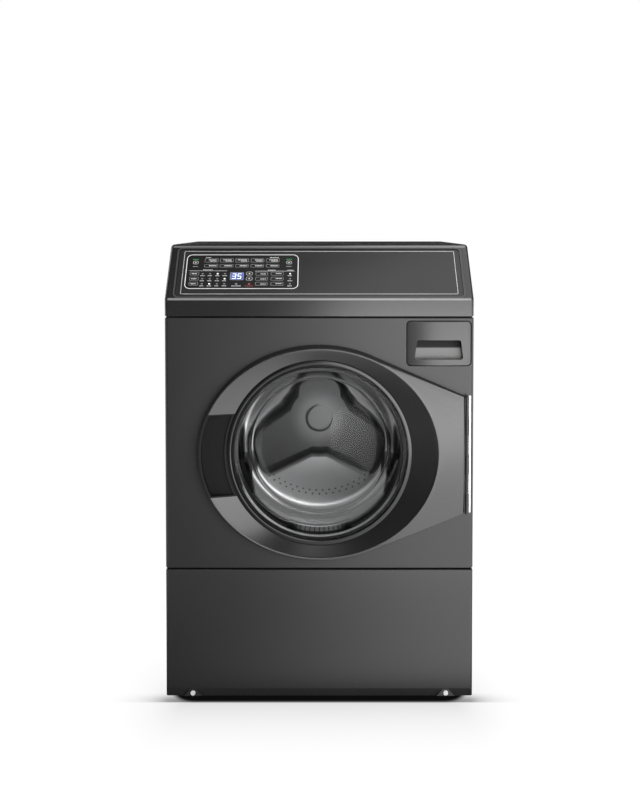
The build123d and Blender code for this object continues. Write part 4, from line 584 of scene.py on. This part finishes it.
def door_ring_grid():
    """Rows from the outer wall's back over its round edge, the flap, the ridge and the dish, to the bore."""
    turn = ring_columns(half_z)
    x, z = door_edge(turn)
    size = np.hypot(x, z)
    height = flap_height(x, z)
    lean = 1 + skirt * np.clip(z / size, 0, 1) / size
    rows = [(x * lean, z * lean, np.full_like(x, rest))]
    for a in np.radians(np.linspace(0, 90, 7)):
        inset = 1 - edge_round * (1 - np.cos(a)) / size
        rows.append((x * inset, z * inset, height - edge_round * (1 - np.sin(a))))
    start = np.array(rows[-1][:2])
    ridge = np.array([(half_x - ridge_inset) * np.cos(turn), (half_z - ridge_inset) * np.sin(turn)])
    for t in (0.12, 0.3, 0.5, 0.7, 0.88, 1.0):
        flap_row = start + (ridge - start) * t
        rows.append((*flap_row, np.minimum(flap_height(*flap_row), proud)))
    for inset, drop in ((0.0046, 0.0), (0.0056, 0.0003), (ridge_end, ridge_drop)):
        rows.append(dish_row(half_x - inset, half_z - inset, proud - drop))
    for t in np.linspace(0.1, 1, 10):
        across, upright = ((half - ridge_end) * (1 - t) + bore * t for half in (half_x, half_z))
        rows.append(dish_row(across, upright, proud - ridge_drop - dish_fall * t))
    rows.append(dish_row(bore, bore, rest))
    grid = np.array(rows)
    return np.stack([grid[:, 0], FRONT_Y - grid[:, 2], AXIS_Z + grid[:, 1]], -1)


def satin(shade):
    """Satin charcoal plastic with a very fine grain."""
    drift = noise(shade, 4.0, 2.0)
    return {
        "Base Color": drift.mix(grey(0.008, 0.01), grey(0.011, 0.01)), "Roughness": 0.25 + drift * 0.05,
        "Normal": noise(shade, 900.0, 2.0).bump(0.00002, 0.3),
    }


moulding = finish("charcoal_moulding", {"Specular IOR Level": 0.80}, satin)
ring_grid = door_ring_grid()
rows, columns = ring_grid.shape[:2]
grip_end = np.arange(rows) * columns
ring_faces = grid_faces(rows, columns, wrap_rows=True)
ring_faces += [grip_end.tolist(), (grip_end + columns - 1)[::-1].tolist()]
door_ring = mesh_piece("door_dish", ring_grid, ring_faces, moulding, 35)
door_ring.data.materials.append(black_plastic)
# Painted shade: the black covers the side wall and also the outer rows of the round edge.
dark_band_faces = np.arange(len(ring_faces)) < dark_band_rows * (columns - 1)
door_ring.data.polygons.foreach_set("material_index", dark_band_faces.astype(np.int32))
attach(door_ring, "door")
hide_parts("door_ring")


# The grip, the back cover and the gloss ring: black mouldings clipped into the door ring.
# The strike is a steel tongue on the back cover, with an eye for the bolt of the lock behind the panel.
grip_plastic = finish("grip_plastic", {"Specular IOR Level": 0.14}, moulded(0.010, 0.3, 0.46))
dress(["door_handle", "door_inner_frame"], grip_plastic)
dress(["door_strike", "lock_bolt"], bright_steel)
dress(["door_lock"], black_plastic)
gloss_black = finish("gloss_black", {}, lambda shade: {
    "Base Color": noise(shade, 10.0).mix(grey(0.006), grey(0.010)),
    "Roughness": 0.10 + noise(shade, 30.0) * 0.06,
})
bezel_back, bezel_front = FRONT_Y - 0.0085, FRONT_Y - 0.0125
bezel_profile = np.concatenate([
    [(0.194, bezel_back)], arc((0.1965, bezel_front + 0.0025), 0.0025, 180, 270, 6),
    arc((0.2025, bezel_front + 0.0024), 0.0024, 270, 360, 6), [(0.2049, bezel_back)],
])
bezel = turned("glass_trim", bezel_profile, gloss_black, 240)
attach(bezel, "door")
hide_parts("door_bezel")


# The glass: a bowl pressed from clear glass, which reaches into the drum's mouth.
# The door's back cover clamps its flange.
dark_side_edge, dark_side_waist, dark_side_lean = 0.165, -0.015, 0.28


def bowl_painted_dark(shade):
    """Clear in the middle. Near the rim the steep wall is painted dark at the sides and low down: a painted
    reflection of the black gasket.
    """
    x, _, z = shade.place()
    up, across = z - AXIS_Z, x.math("ABSOLUTE")
    out = x.hypot(up)
    # Painted reflection: dark patches at the sides and along the lower rim stand in for the black gasket seen
    # in the steep wall.
    edge = across - dark_side_edge - (up - dark_side_waist).math("MINIMUM", 0.0) * dark_side_lean
    lens = edge.fade(0.0, 0.004) * up.fade(0.075, 0.05) * up.fade(-0.12, -0.09)
    foot = out.fade(0.172, 0.178) * up.fade(-0.07, -0.09) * across.fade(0.03, 0.06)
    rim = out.node("MapRange", inputs={"Value": out, 1: 0.1815, 2: 0.1825})
    dark = lens.math("MAXIMUM", foot) * (1.0 - rim)
    return {"Base Color": dark.mix(grey(0.82, -0.01), grey(0.03))}


glass = finish("clear_glass", {"Roughness": 0.0, "IOR": 1.15, "Transmission Weight": 1.0}, bowl_painted_dark)
glass_tree = glass.node_tree
glass_shader = Shade(glass_tree, glass_tree.nodes["Principled BSDF"].outputs[0])
seen = glass_shader.node("LightPath", out="Is Camera Ray")
seen = seen.math("MAXIMUM", seen.node("LightPath", out="Is Transmission Ray"))
clear = seen.node("BsdfTransparent", inputs={"Color": grey(0.92)})
both = seen.node("MixShader", inputs={0: seen, 1: clear, 2: glass_shader})
glass_tree.links.new(both.socket, glass_tree.nodes["Material Output"].inputs["Surface"])
flange, bowl_corner, wall = 0.203, 0.026, 0.005
flange_back, flange_front, bowl_end = FRONT_Y - 0.0045, FRONT_Y - 0.0085, FRONT_Y + 0.100
corner_at = (0.1325, bowl_end - bowl_corner)
glass_profile = np.concatenate([
    [(flange, flange_front + 0.001), (flange, flange_back), (0.1885, flange_back)],
    [(0.1865, flange_back + 0.002), (corner_at[0] + bowl_corner, corner_at[1] - 0.002)],
    arc(corner_at, bowl_corner, 0, 90, 12), [(0.06, bowl_end), (0.002, bowl_end)],
    [(0.002, bowl_end - wall), (0.06, bowl_end - wall)], arc(corner_at, bowl_corner - wall, 90, 0, 12),
    [(0.1815, flange_back - 0.001)], arc((0.1845, flange_front + 0.003), 0.003, 180, 270, 6),
    arc((flange - 0.001, flange_front + 0.001), 0.001, 270, 360, 4)[:-1],
])
bowl = turned("glass_bowl", glass_profile, glass, smooth=30)
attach(bowl, "door")
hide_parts("door_glass")


# The hinge: a piano hinge rolled from steel strip, fixed to the front panel and screwed to the door's edge.
# Its fixed leaf is bright where it shows, and the knuckles, the moving leaf and the pin are black.
leaf_x, leaf_half = 0.3328, 0.0020


def leaf_tone(shade):
    """Bright zinc on the strip that shows beside the knuckles, and black on the knuckles themselves."""
    x, _, _ = shade.place()
    bright = x.math("COMPARE", leaf_x, leaf_half)
    return {
        "Base Color": bright.mix(grey(0.012), grey(0.86)), "Metallic": bright * 0.6,
        "Roughness": 0.36 - bright * 0.06 + noise(shade, 90.0) * 0.06,
    }


dress(["hinge_cabinet_leaf"], finish("hinge_leaf", {}, leaf_tone))
dress(["hinge_door_leaf", "hinge_pin"], black_enamel)


# The detergent drawer: a bowed moulding in the console's colour, with a pull let into it.
# Its white tray has three cups and slides in the dispenser box.
pull_sill, pull_roof, ledge_half = 0.783, 0.794, 0.012


def drawer_tone(shade):
    """The moulding's tone, with painted shade at the back of the pull, where little light reaches, and a
    painted highlight on the ledge at its foot.
    """
    _, depth, up = shade.place()
    # Painted shade at the back of the pull, and a painted highlight on the ledge below it.
    painted_pull_shade = depth.fade(FRONT_Y + 0.013, FRONT_Y + 0.020) * up.fade(pull_roof, pull_roof + 0.005)
    painted_ledge_light = depth.node("MapRange", inputs={"Value": depth, 1: FRONT_Y + 0.0005, 2: FRONT_Y + 0.003})
    painted_ledge_light = painted_ledge_light * (1.0 - painted_pull_shade) * up.math("COMPARE", pull_sill, ledge_half)
    face = painted_ledge_light.mix(grey(0.044, 0.01), grey(0.150, 0.01))
    return {"Base Color": painted_pull_shade.mix(face, grey(0.006)), "Roughness": 0.29 + painted_pull_shade * 0.5}


dress(["drawer_front"], finish("drawer_moulding", {"Specular IOR Level": 0.55}, drawer_tone))
dress(["drawer_tray"], white_plastic)


# The console: one long moulding with a sloping face, in which a printed film lies over the control board.
# The film is black plastic with lines, pads and lamps printed on it, and four keys push through it.
slope_foot, lip_highlight_line, rim_highlight_line, console_end = 0.906, 0.9052, 1.0187, 0.3345


def satin_with_painted_highlights(shade):
    """Satin charcoal, with a painted highlight along the rounded lip at the slope's foot and along the rim at
    its top.
    """
    x, _, up = shade.place()
    drift = noise(shade, 4.0, 2.0)
    # Painted highlights: pale bands where the rounding of the lip and of the rim would catch the light.
    lip = (up - lip_highlight_line).math("ABSOLUTE").fade(0.0030, 0.0016)
    rim = (up - rim_highlight_line).math("ABSOLUTE").fade(0.0030, 0.0014)
    edge = (lip + rim * 0.70) * x.math("ABSOLUTE").math("LESS_THAN", console_end)
    charcoal = drift.mix(grey(0.020, 0.01), grey(0.024, 0.01))
    return {
        "Base Color": edge.mix(charcoal, grey(0.29)), "Roughness": 0.19 + drift * 0.04,
        "Normal": noise(shade, 900.0, 2.0).bump(0.00002, 0.3),
    }


film = finish("printed_film", {}, lambda shade: {
    "Base Color": noise(shade, 6.0).mix(grey(0.018), grey(0.024)),
    "Roughness": 0.34 + noise(shade, 12.0) * 0.08, "Normal": noise(shade, 1500.0).bump(0.00001, 0.4),
})
board_green = finish("board_green", {}, lambda shade: {
    "Base Color": noise(shade, 60.0).mix((0.01, 0.09, 0.03, 1), (0.02, 0.16, 0.06, 1)),
    "Roughness": 0.4 + noise(shade, 60.0) * 0.1,
})
window_tint = finish("display_tint", {"Roughness": 0.15, "Emission Strength": 1.0}, lambda shade: {
    "Base Color": noise(shade, 30.0).mix((0.02, 0.03, 0.10, 1), (0.03, 0.04, 0.14, 1)),
    "Emission Color": noise(shade, 60.0).mix((0.105, 0.145, 0.36, 1), (0.135, 0.18, 0.44, 1)),
})
dress(["console_housing"], finish("console_moulding", {"Specular IOR Level": 0.6}, satin_with_painted_highlights))
dress(["control_overlay", "start_key", "stop_key", "up_key", "down_key"], film)
dress(["control_board"], board_green)
dress(["display_window"], window_tint)

# The print is laid out in millimetres across the console and up its slope, in thin layers on the film.
film_depth, field_lift, ink_lift, lamp_lift, lit_lift = 1.5, 0.02, 0.04, 0.05, 0.06
key_lift, rim_lift = 0.74, 1.54


def on_slope(places, lift):
    """Points at (across, up the slope) in millimetres, lifted off the film: the slope rises at 45 degrees."""
    across, up, out = places[:, 0] / 1000, places[:, 1] / 1000, (lift - film_depth) / 1000
    side = np.sqrt(0.5)
    return np.stack([across, FRONT_Y + side * (up - out), slope_foot + side * (up + out)], 1)


def bar(x0, x1, s0, s1):
    """A filled rectangle."""
    return np.array([(x0, s0), (x1, s0), (x1, s1), (x0, s1)], float), [[0, 1, 2, 3]]


def corners(x0, x1, s0, s1, r, count=6):
    """The points of a rectangle with rounded corners: four quarter circles, going round it once."""
    turn = np.radians(np.linspace(0, 90, count) + 90 * np.arange(4)[:, None])
    x = np.array([x1 - r, x0 + r, x0 + r, x1 - r])[:, None] + r * np.cos(turn)
    s = np.array([s1 - r, s1 - r, s0 + r, s0 + r])[:, None] + r * np.sin(turn)
    return np.stack([x, s], -1).reshape(-1, 2)


def between(outer, inner):
    """The area between two loops that have the same number of points."""
    return np.concatenate([outer, inner]), grid_faces(2, len(outer), wrap_columns=True)


def outline(x0, x1, s0, s1, r, w=0.6):
    """The line round a rounded rectangle, w wide."""
    return between(corners(x0, x1, s0, s1, r), corners(x0 + w, x1 - w, s0 + w, s1 - w, max(r - w, 0.1)))


def patch(x, s, half_width, half_height, r):
    """A filled rounded rectangle about a point."""
    loop = corners(x - half_width, x + half_width, s - half_height, s + half_height, r)
    return loop, [list(range(len(loop)))]


word_steps, word_share, shortest_word = (2.4, 3.6, 1.8, 4.4, 3.0), 0.8, 1.2


def words(x0, x1, s, height, seed):
    """A line of small print as a row of short bars, whose lengths follow a fixed pattern."""
    shapes, x, k = [], x0, seed
    while x < x1 - shortest_word:
        long = min(word_steps[k % len(word_steps)], x1 - x)
        shapes.append(bar(x, x + long * word_share, s - height / 2, s + height / 2))
        x, k = x + long, k + 1
    return shapes


def printed(name, shapes, material, lift=ink_lift, body="cabinet"):
    """Flat ink on the console: all shapes of one colour as one piece."""
    starts = np.cumsum([0] + [len(places) for places, _ in shapes])
    faces = [(np.array(ring) + first).tolist() for (_, rings), first in zip(shapes, starts) for ring in rings]
    points = on_slope(np.concatenate([places for places, _ in shapes]), lift)
    piece = mesh_piece(name, points, faces, material)
    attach(piece, body)


def ink(name, tone, glow=0.0):
    """A printed ink, or a lamp's cap if it glows. The pale inks glow a little too: painted light that
    brightens the print.
    """
    values = {"Roughness": 0.45, "Emission Color": tone, "Emission Strength": glow}
    faded = tuple(0.92 * c for c in tone[:3]) + (1.0,)
    return finish(name, values, lambda shade: {"Base Color": noise(shade, 400.0).mix(tone, faded)})


# Painted light: the white and green inks glow faintly, though they are no lamps.
white_ink = ink("white_ink", grey(0.90), 0.22)
pale_ink = ink("pale_ink", grey(0.55))
green_ink = ink("green_ink", (0.07, 0.40, 0.09, 1.0), 0.10)
frame_edge, frame_round, frame_line = (-301, -47, 31, 136), 13, 1.7
display_edge, display_round, display_line = (-200, -170, 57.5, 80.5), 2, 0.7
border_edge, border_round, border_line = (-308, 308, 15.2, 146.5), 3, 1.1
recess_edge, recess_round, recess_line = (-324, 324, 3.2, 156.8), 12.8, 3.6
cycle_columns = ((-260, -229.5), (-225, -195), (-190, -160.4), (-155.3, -125.7), (-120.6, -90.9))
cycle_rows, upper_words, middle_words, lower_words = ((112, 123.4), (96.5, 105.5)), 119.4, 115.6, 101.0
mode_column, option_columns = (-291, -271), ((-142.8, -115.7), (-108.5, -80.6))
pad_half, pad_round, word_margin = 5, 2, 3
lamp_rows, lamp_columns, end_lamp = (76.6, 61.3, 46.0), (-262.3, -245.6, -228.6, -212.2), -65.6
lamp_size, caption_drop, caption_height = (2.1, 1.9, 1.7), 6.2, 1.6
lit_lamps = {(2, 0), (3, 1), (1, 2), (4, 0)}
captions = (
    (-258, -246, 126.6, 1.6, 1), (-112, -92, 126.6, 1.6, 2), (-196, -174, 39.6, 1.6, 2),
    (-262, -240, 88.3, 1.7, 1), (-116, -98, 87.3, 1.7, 3), (-72, -58, 87.3, 1.7, 0),
)
pads, lamps, small = [outline(*display_edge, display_round, display_line)], {True: [], False: []}, []
for k, (x0, x1) in enumerate(cycle_columns):
    end = x1 - word_margin
    pads += [outline(x0, x1, *span, pad_round) for span in cycle_rows]
    small += words(x0 + 9 - 2 * (k % 3), end, upper_words, 2.0, k)
    small += words(x0 + 12, end, middle_words, 2.0, k + 2)
    small += words(x0 + 10, end, lower_words, 2.4, k + 3)
for row, s in enumerate(lamp_rows):
    caption, span = s - caption_drop, (s - pad_half, s + pad_half)
    pads += [outline(*ends, *span, pad_round) for ends in (mode_column, *option_columns)]
    small += words(-287, -275, s, 2.2, row) + words(-71, -60.5, caption, caption_height, row + 1)
    for column, x in enumerate((*lamp_columns, end_lamp)):
        lamps[(column, row) in lit_lamps].append(patch(x, s, *lamp_size))
    for column, x in enumerate(lamp_columns):
        small += words(x - 5, x + 5, caption, caption_height, row + column)
    for column, (x0, x1) in enumerate(option_columns):
        small += words(x0 + 11, x1 - word_margin, s + 1.4 * (column - 0.5), 2.0, row + column)
for caption in captions:
    small += words(*caption)
lamps[False].append(patch(-185.4, 45.7, 2.6, 2.4, 2.0))
red_lamp = [patch(-156.7, 45.7, 2.5, 2.4, 2.0)] + words(-166, -148, 39.6, 1.6, 3)
lines = [bar(-293.3, -207.7, 85.2, 85.9), bar(-144.7, -55.7, 84.2, 84.9)]
lines.append(outline(*frame_edge, frame_round, frame_line))
field = [between(corners(*frame_edge, frame_round), corners(*display_edge, display_round))]
border = [outline(*border_edge, border_round, border_line)]
# Painted highlight: a dim grey line round the film stands in for the light on the recess's rim.
recess_highlight = [outline(*recess_edge, recess_round, recess_line)]
green_words = words(-287, -274, 120.6, 2.4, 1) + words(-75, -62, 121.2, 2.4, 2)
notes = words(-286, -273, 98.8, 1.5, 0) + words(-75, -62, 99.2, 1.5, 1)
printed("control_field", field, ink("field_black", grey(0.004)), field_lift)
printed("film_border", border, ink("border_ink", grey(0.85)))
printed("recess_edge", recess_highlight, ink("painted_recess_highlight", grey(0.075)), rim_lift)
printed("console_lines", lines, white_ink)
printed("console_pads", pads, pale_ink)
# Painted light: the grey ink of the small print glows faintly.
printed("console_words", small, ink("grey_ink", grey(0.90), 0.12))
printed("lamps_off", lamps[False], ink("lamp_off", grey(0.34)), lamp_lift)
printed("lamps_on", lamps[True], ink("lamp_on", grey(0.9), 1.0), lit_lift)
printed("lamp_red", red_lamp, ink("lamp_red", (0.5, 0.12, 0.10, 1.0)), lamp_lift)
printed("stop_start_words", green_words, green_ink)
printed("stop_start_notes", notes, pale_ink)
for key, x, s in (("stop", -280, 110.5), ("start", -68.5, 110.5)):
    mark = [outline(x - 6.0, x + 6.0, s - 4.8, s + 4.8, 4.0, 0.7), patch(x, s, 1.6, 1.2, 0.8)]
    printed(key + "_print", mark, white_ink, key_lift, key)
for key, s in (("up", 76.5), ("down", 61.0)):
    mark = [outline(-164, -150, s - 5.4, s + 5.4, 4), patch(-157, s, 1.6, 1.6, 1.2)]
    printed(key + "_print", mark, white_ink, key_lift, key)


def digit(x, s, lit_bars):
    """A seven-bar figure with its foot at (x, s), leaning a little to the right."""
    w, h, t, inset, lean = 9.0, 16.5, 2.2, 0.25, 0.10
    bars = {
        "a": (0, w, h - t, h), "g": (0, w, h / 2 - t / 2, h / 2 + t / 2), "d": (0, w, 0, t),
        "b": (w - t, w, h / 2, h), "c": (w - t, w, 0, h / 2), "e": (0, t, 0, h / 2), "f": (0, t, h / 2, h),
    }
    shapes = []
    for x0, x1, s0, s1 in (bars[key] for key in lit_bars):
        places, faces = bar(x0 + inset, x1 - inset, s0 + inset, s1 - inset)
        shapes.append((places @ [[1, 0], [lean, 1]] + (x, s), faces))
    return shapes


figures = digit(-196.5, 60.8, "abgcd") + digit(-184.6, 60.8, "afgcd")
printed("display_figures", figures, ink("figure_glow", (0.85, 0.9, 1.0, 1.0), 0.9), lit_lift)


# The rear access cover: a plain sheet held over the hole behind the drive by hexagon screws.
# Its zinc coating has gone dull and cloudy.
def dull_zinc(shade):
    """Old zinc: soft clouds of a darker grey."""
    cloud = noise(shade, 16.0, 3.0)
    return {"Base Color": cloud.mix(grey(0.14, -0.02), grey(0.19, -0.02)), "Roughness": 0.40 + cloud * 0.14}


dress(["rear_access_cover"], finish("dull_galvanised", {"Metallic": 0.85}, dull_zinc))
dress(["panel_screws"], bright_steel)


# The stage: a pale floor that runs into a white background, with the machine's soft shadow painted on it.
# A big soft light right of the camera lights the front, and a strip over the camera reaches into the drum.
# Others hang above, stand on both sides and stand behind, so that every side shows its sheen.
half_width, toe_x, toe_y, wide_reach, streak_reach = cad_box[1].x, 0.30, -0.3135, 0.075, 0.04
footprint_x, footprint_y, footprint_middle = 0.276, 0.262, 0.0085


def floor_tone(shade):
    """The camera sees white, less a painted shadow: a wide one that dies away from the toe, a streak at each
    side and the dark under the machine. The machine's gloss sees a dark floor with a painted sheen, brightest
    on the right."""
    camera_ray = shade.node("LightPath", out="Is Camera Ray")
    glossy_ray = shade.node("LightPath", out="Is Glossy Ray")
    x, y, _ = shade.place()
    beside = x.math("ABSOLUTE")
    out = (beside - toe_x).math("MAXIMUM", 0.0).hypot((y - toe_y) * 0.5)
    # Painted shadow: the wide shade, the side streaks and the dark under the machine are drawn into the
    # floor's glow and colour.
    wide = (out * (-1 / wide_reach)).math("EXPONENT") * 0.29
    streak = ((beside - half_width).math("MAXIMUM", 0.0) * (-1 / streak_reach)).math("EXPONENT") * 0.52
    streak = streak * y.fade(toe_y - 0.003, toe_y + 0.0045) * y.fade(toe_y + 0.0585, toe_y + 0.0085)
    corner_x = (beside - footprint_x).math("MAXIMUM", 0.0)
    corner_y = ((y - footprint_middle).math("ABSOLUTE") - footprint_y).math("MAXIMUM", 0.0)
    under = corner_x.hypot(corner_y).fade(0.066, 0.048)
    glow = under.mix((1.0 - wide - streak).mix(grey(0.0), grey(1.0)), grey(0.004))
    # Painted sheen: the floor glows only in the machine's gloss, brightest on the right.
    front = x.fade(-0.42, 0.52, 0.12, 2.5) * y.fade(-0.33, -0.42)
    left = x.fade(-0.62, -0.95) * y.fade(-0.45, -0.75) * y.fade(-2.1, -1.6)
    sheen = ((front + y.fade(-0.28, 0.05, 0.0, 1.3) + left) * 0.25).mix(grey(0.0), grey(4.0))
    paint = camera_ray.mix(glossy_ray.mix(grey(0.80), grey(0.03)), under.mix(grey(0.08), grey(0.0)))
    return {"Base Color": paint, "Emission Color": camera_ray.mix(glossy_ray.mix(grey(0.0), sheen), glow)}


floor_values = {"Roughness": 0.9, "Specular IOR Level": 0.0, "Emission Strength": 1.0}
floor_points = np.array([(-1, -1, 0), (1, -1, 0), (1, 1, 0), (-1, 1, 0)]) * 12.0
floor = mesh_piece("floor", floor_points, [[0, 1, 2, 3]], finish("floor_paint", floor_values, floor_tone))

world = bpy.data.worlds.new("studio")
scene.world = world
world.use_nodes = True
sky = Shade(world.node_tree)
glossy_tone = sky.node("LightPath", out="Is Glossy Ray").mix(grey(0.11), grey(0.03))
ambient = sky.node("LightPath", out="Is Camera Ray").mix(glossy_tone, grey(1.0))
sky.tree.links.new(ambient.socket, sky.tree.nodes["Background"].inputs["Color"])


def soft_light(name, place, aim, width, height, radiance):
    """A rectangular soft light at a place, turned to a point, with its brightness set as radiance."""
    lamp = bpy.data.lights.new(name, "AREA")
    lamp.shape, lamp.size, lamp.size_y = "RECTANGLE", width, height
    lamp.energy = radiance * width * height * np.pi
    holder = bpy.data.objects.new(name, lamp)
    scene.collection.objects.link(holder)
    holder.location = place
    holder.rotation_euler = (Vector(aim) - Vector(place)).to_track_quat("-Z", "Y").to_euler()


soft_light("right_softbox", (1.55, -2.95, 0.95), (1.55, 0.0, 0.95), 3.0, 2.5, 3.75)
soft_light("top_softbox", (1.25, -0.5, 3.0), (1.25, -0.4, 0.0), 2.2, 2.4, 1.6)
soft_light("side_softbox", (3.6, 0.7, 0.9), (0.0, 0.2, 0.6), 3.2, 2.2, 1.8)
soft_light("left_softbox", (-3.6, 0.7, 0.9), (0.0, 0.2, 0.6), 3.2, 2.2, 1.2)
soft_light("back_softbox", (0.2, 3.8, 0.68), (0.0, 0.3, 0.68), 3.6, 0.9, 2.0)
soft_light("back_fill", (-2.4, 2.6, 2.9), (0.0, 0.2, 0.9), 3.0, 1.6, 2.0)
soft_light("top_strip", (-0.75, -1.25, 3.0), (-0.75, -0.4, 0.9), 2.6, 0.5, 2.2)
soft_light("front_strip", (0.0, -2.95, 1.64), (0.0, 0.0, 0.45), 1.0, 0.30, 5.0)

camera_data = bpy.data.cameras.new("camera")
camera_data.sensor_fit = "VERTICAL"
camera_data.sensor_height = 36.0
camera_data.lens = 50.96
camera_data.shift_y = -0.165
camera = bpy.data.objects.new("camera", camera_data)
camera.location = (0.0016, FRONT_Y - 2.49, 1.0653)
camera.rotation_euler = (radians(90 - 2.10), 0, 0)
scene.collection.objects.link(camera)
scene.camera = camera
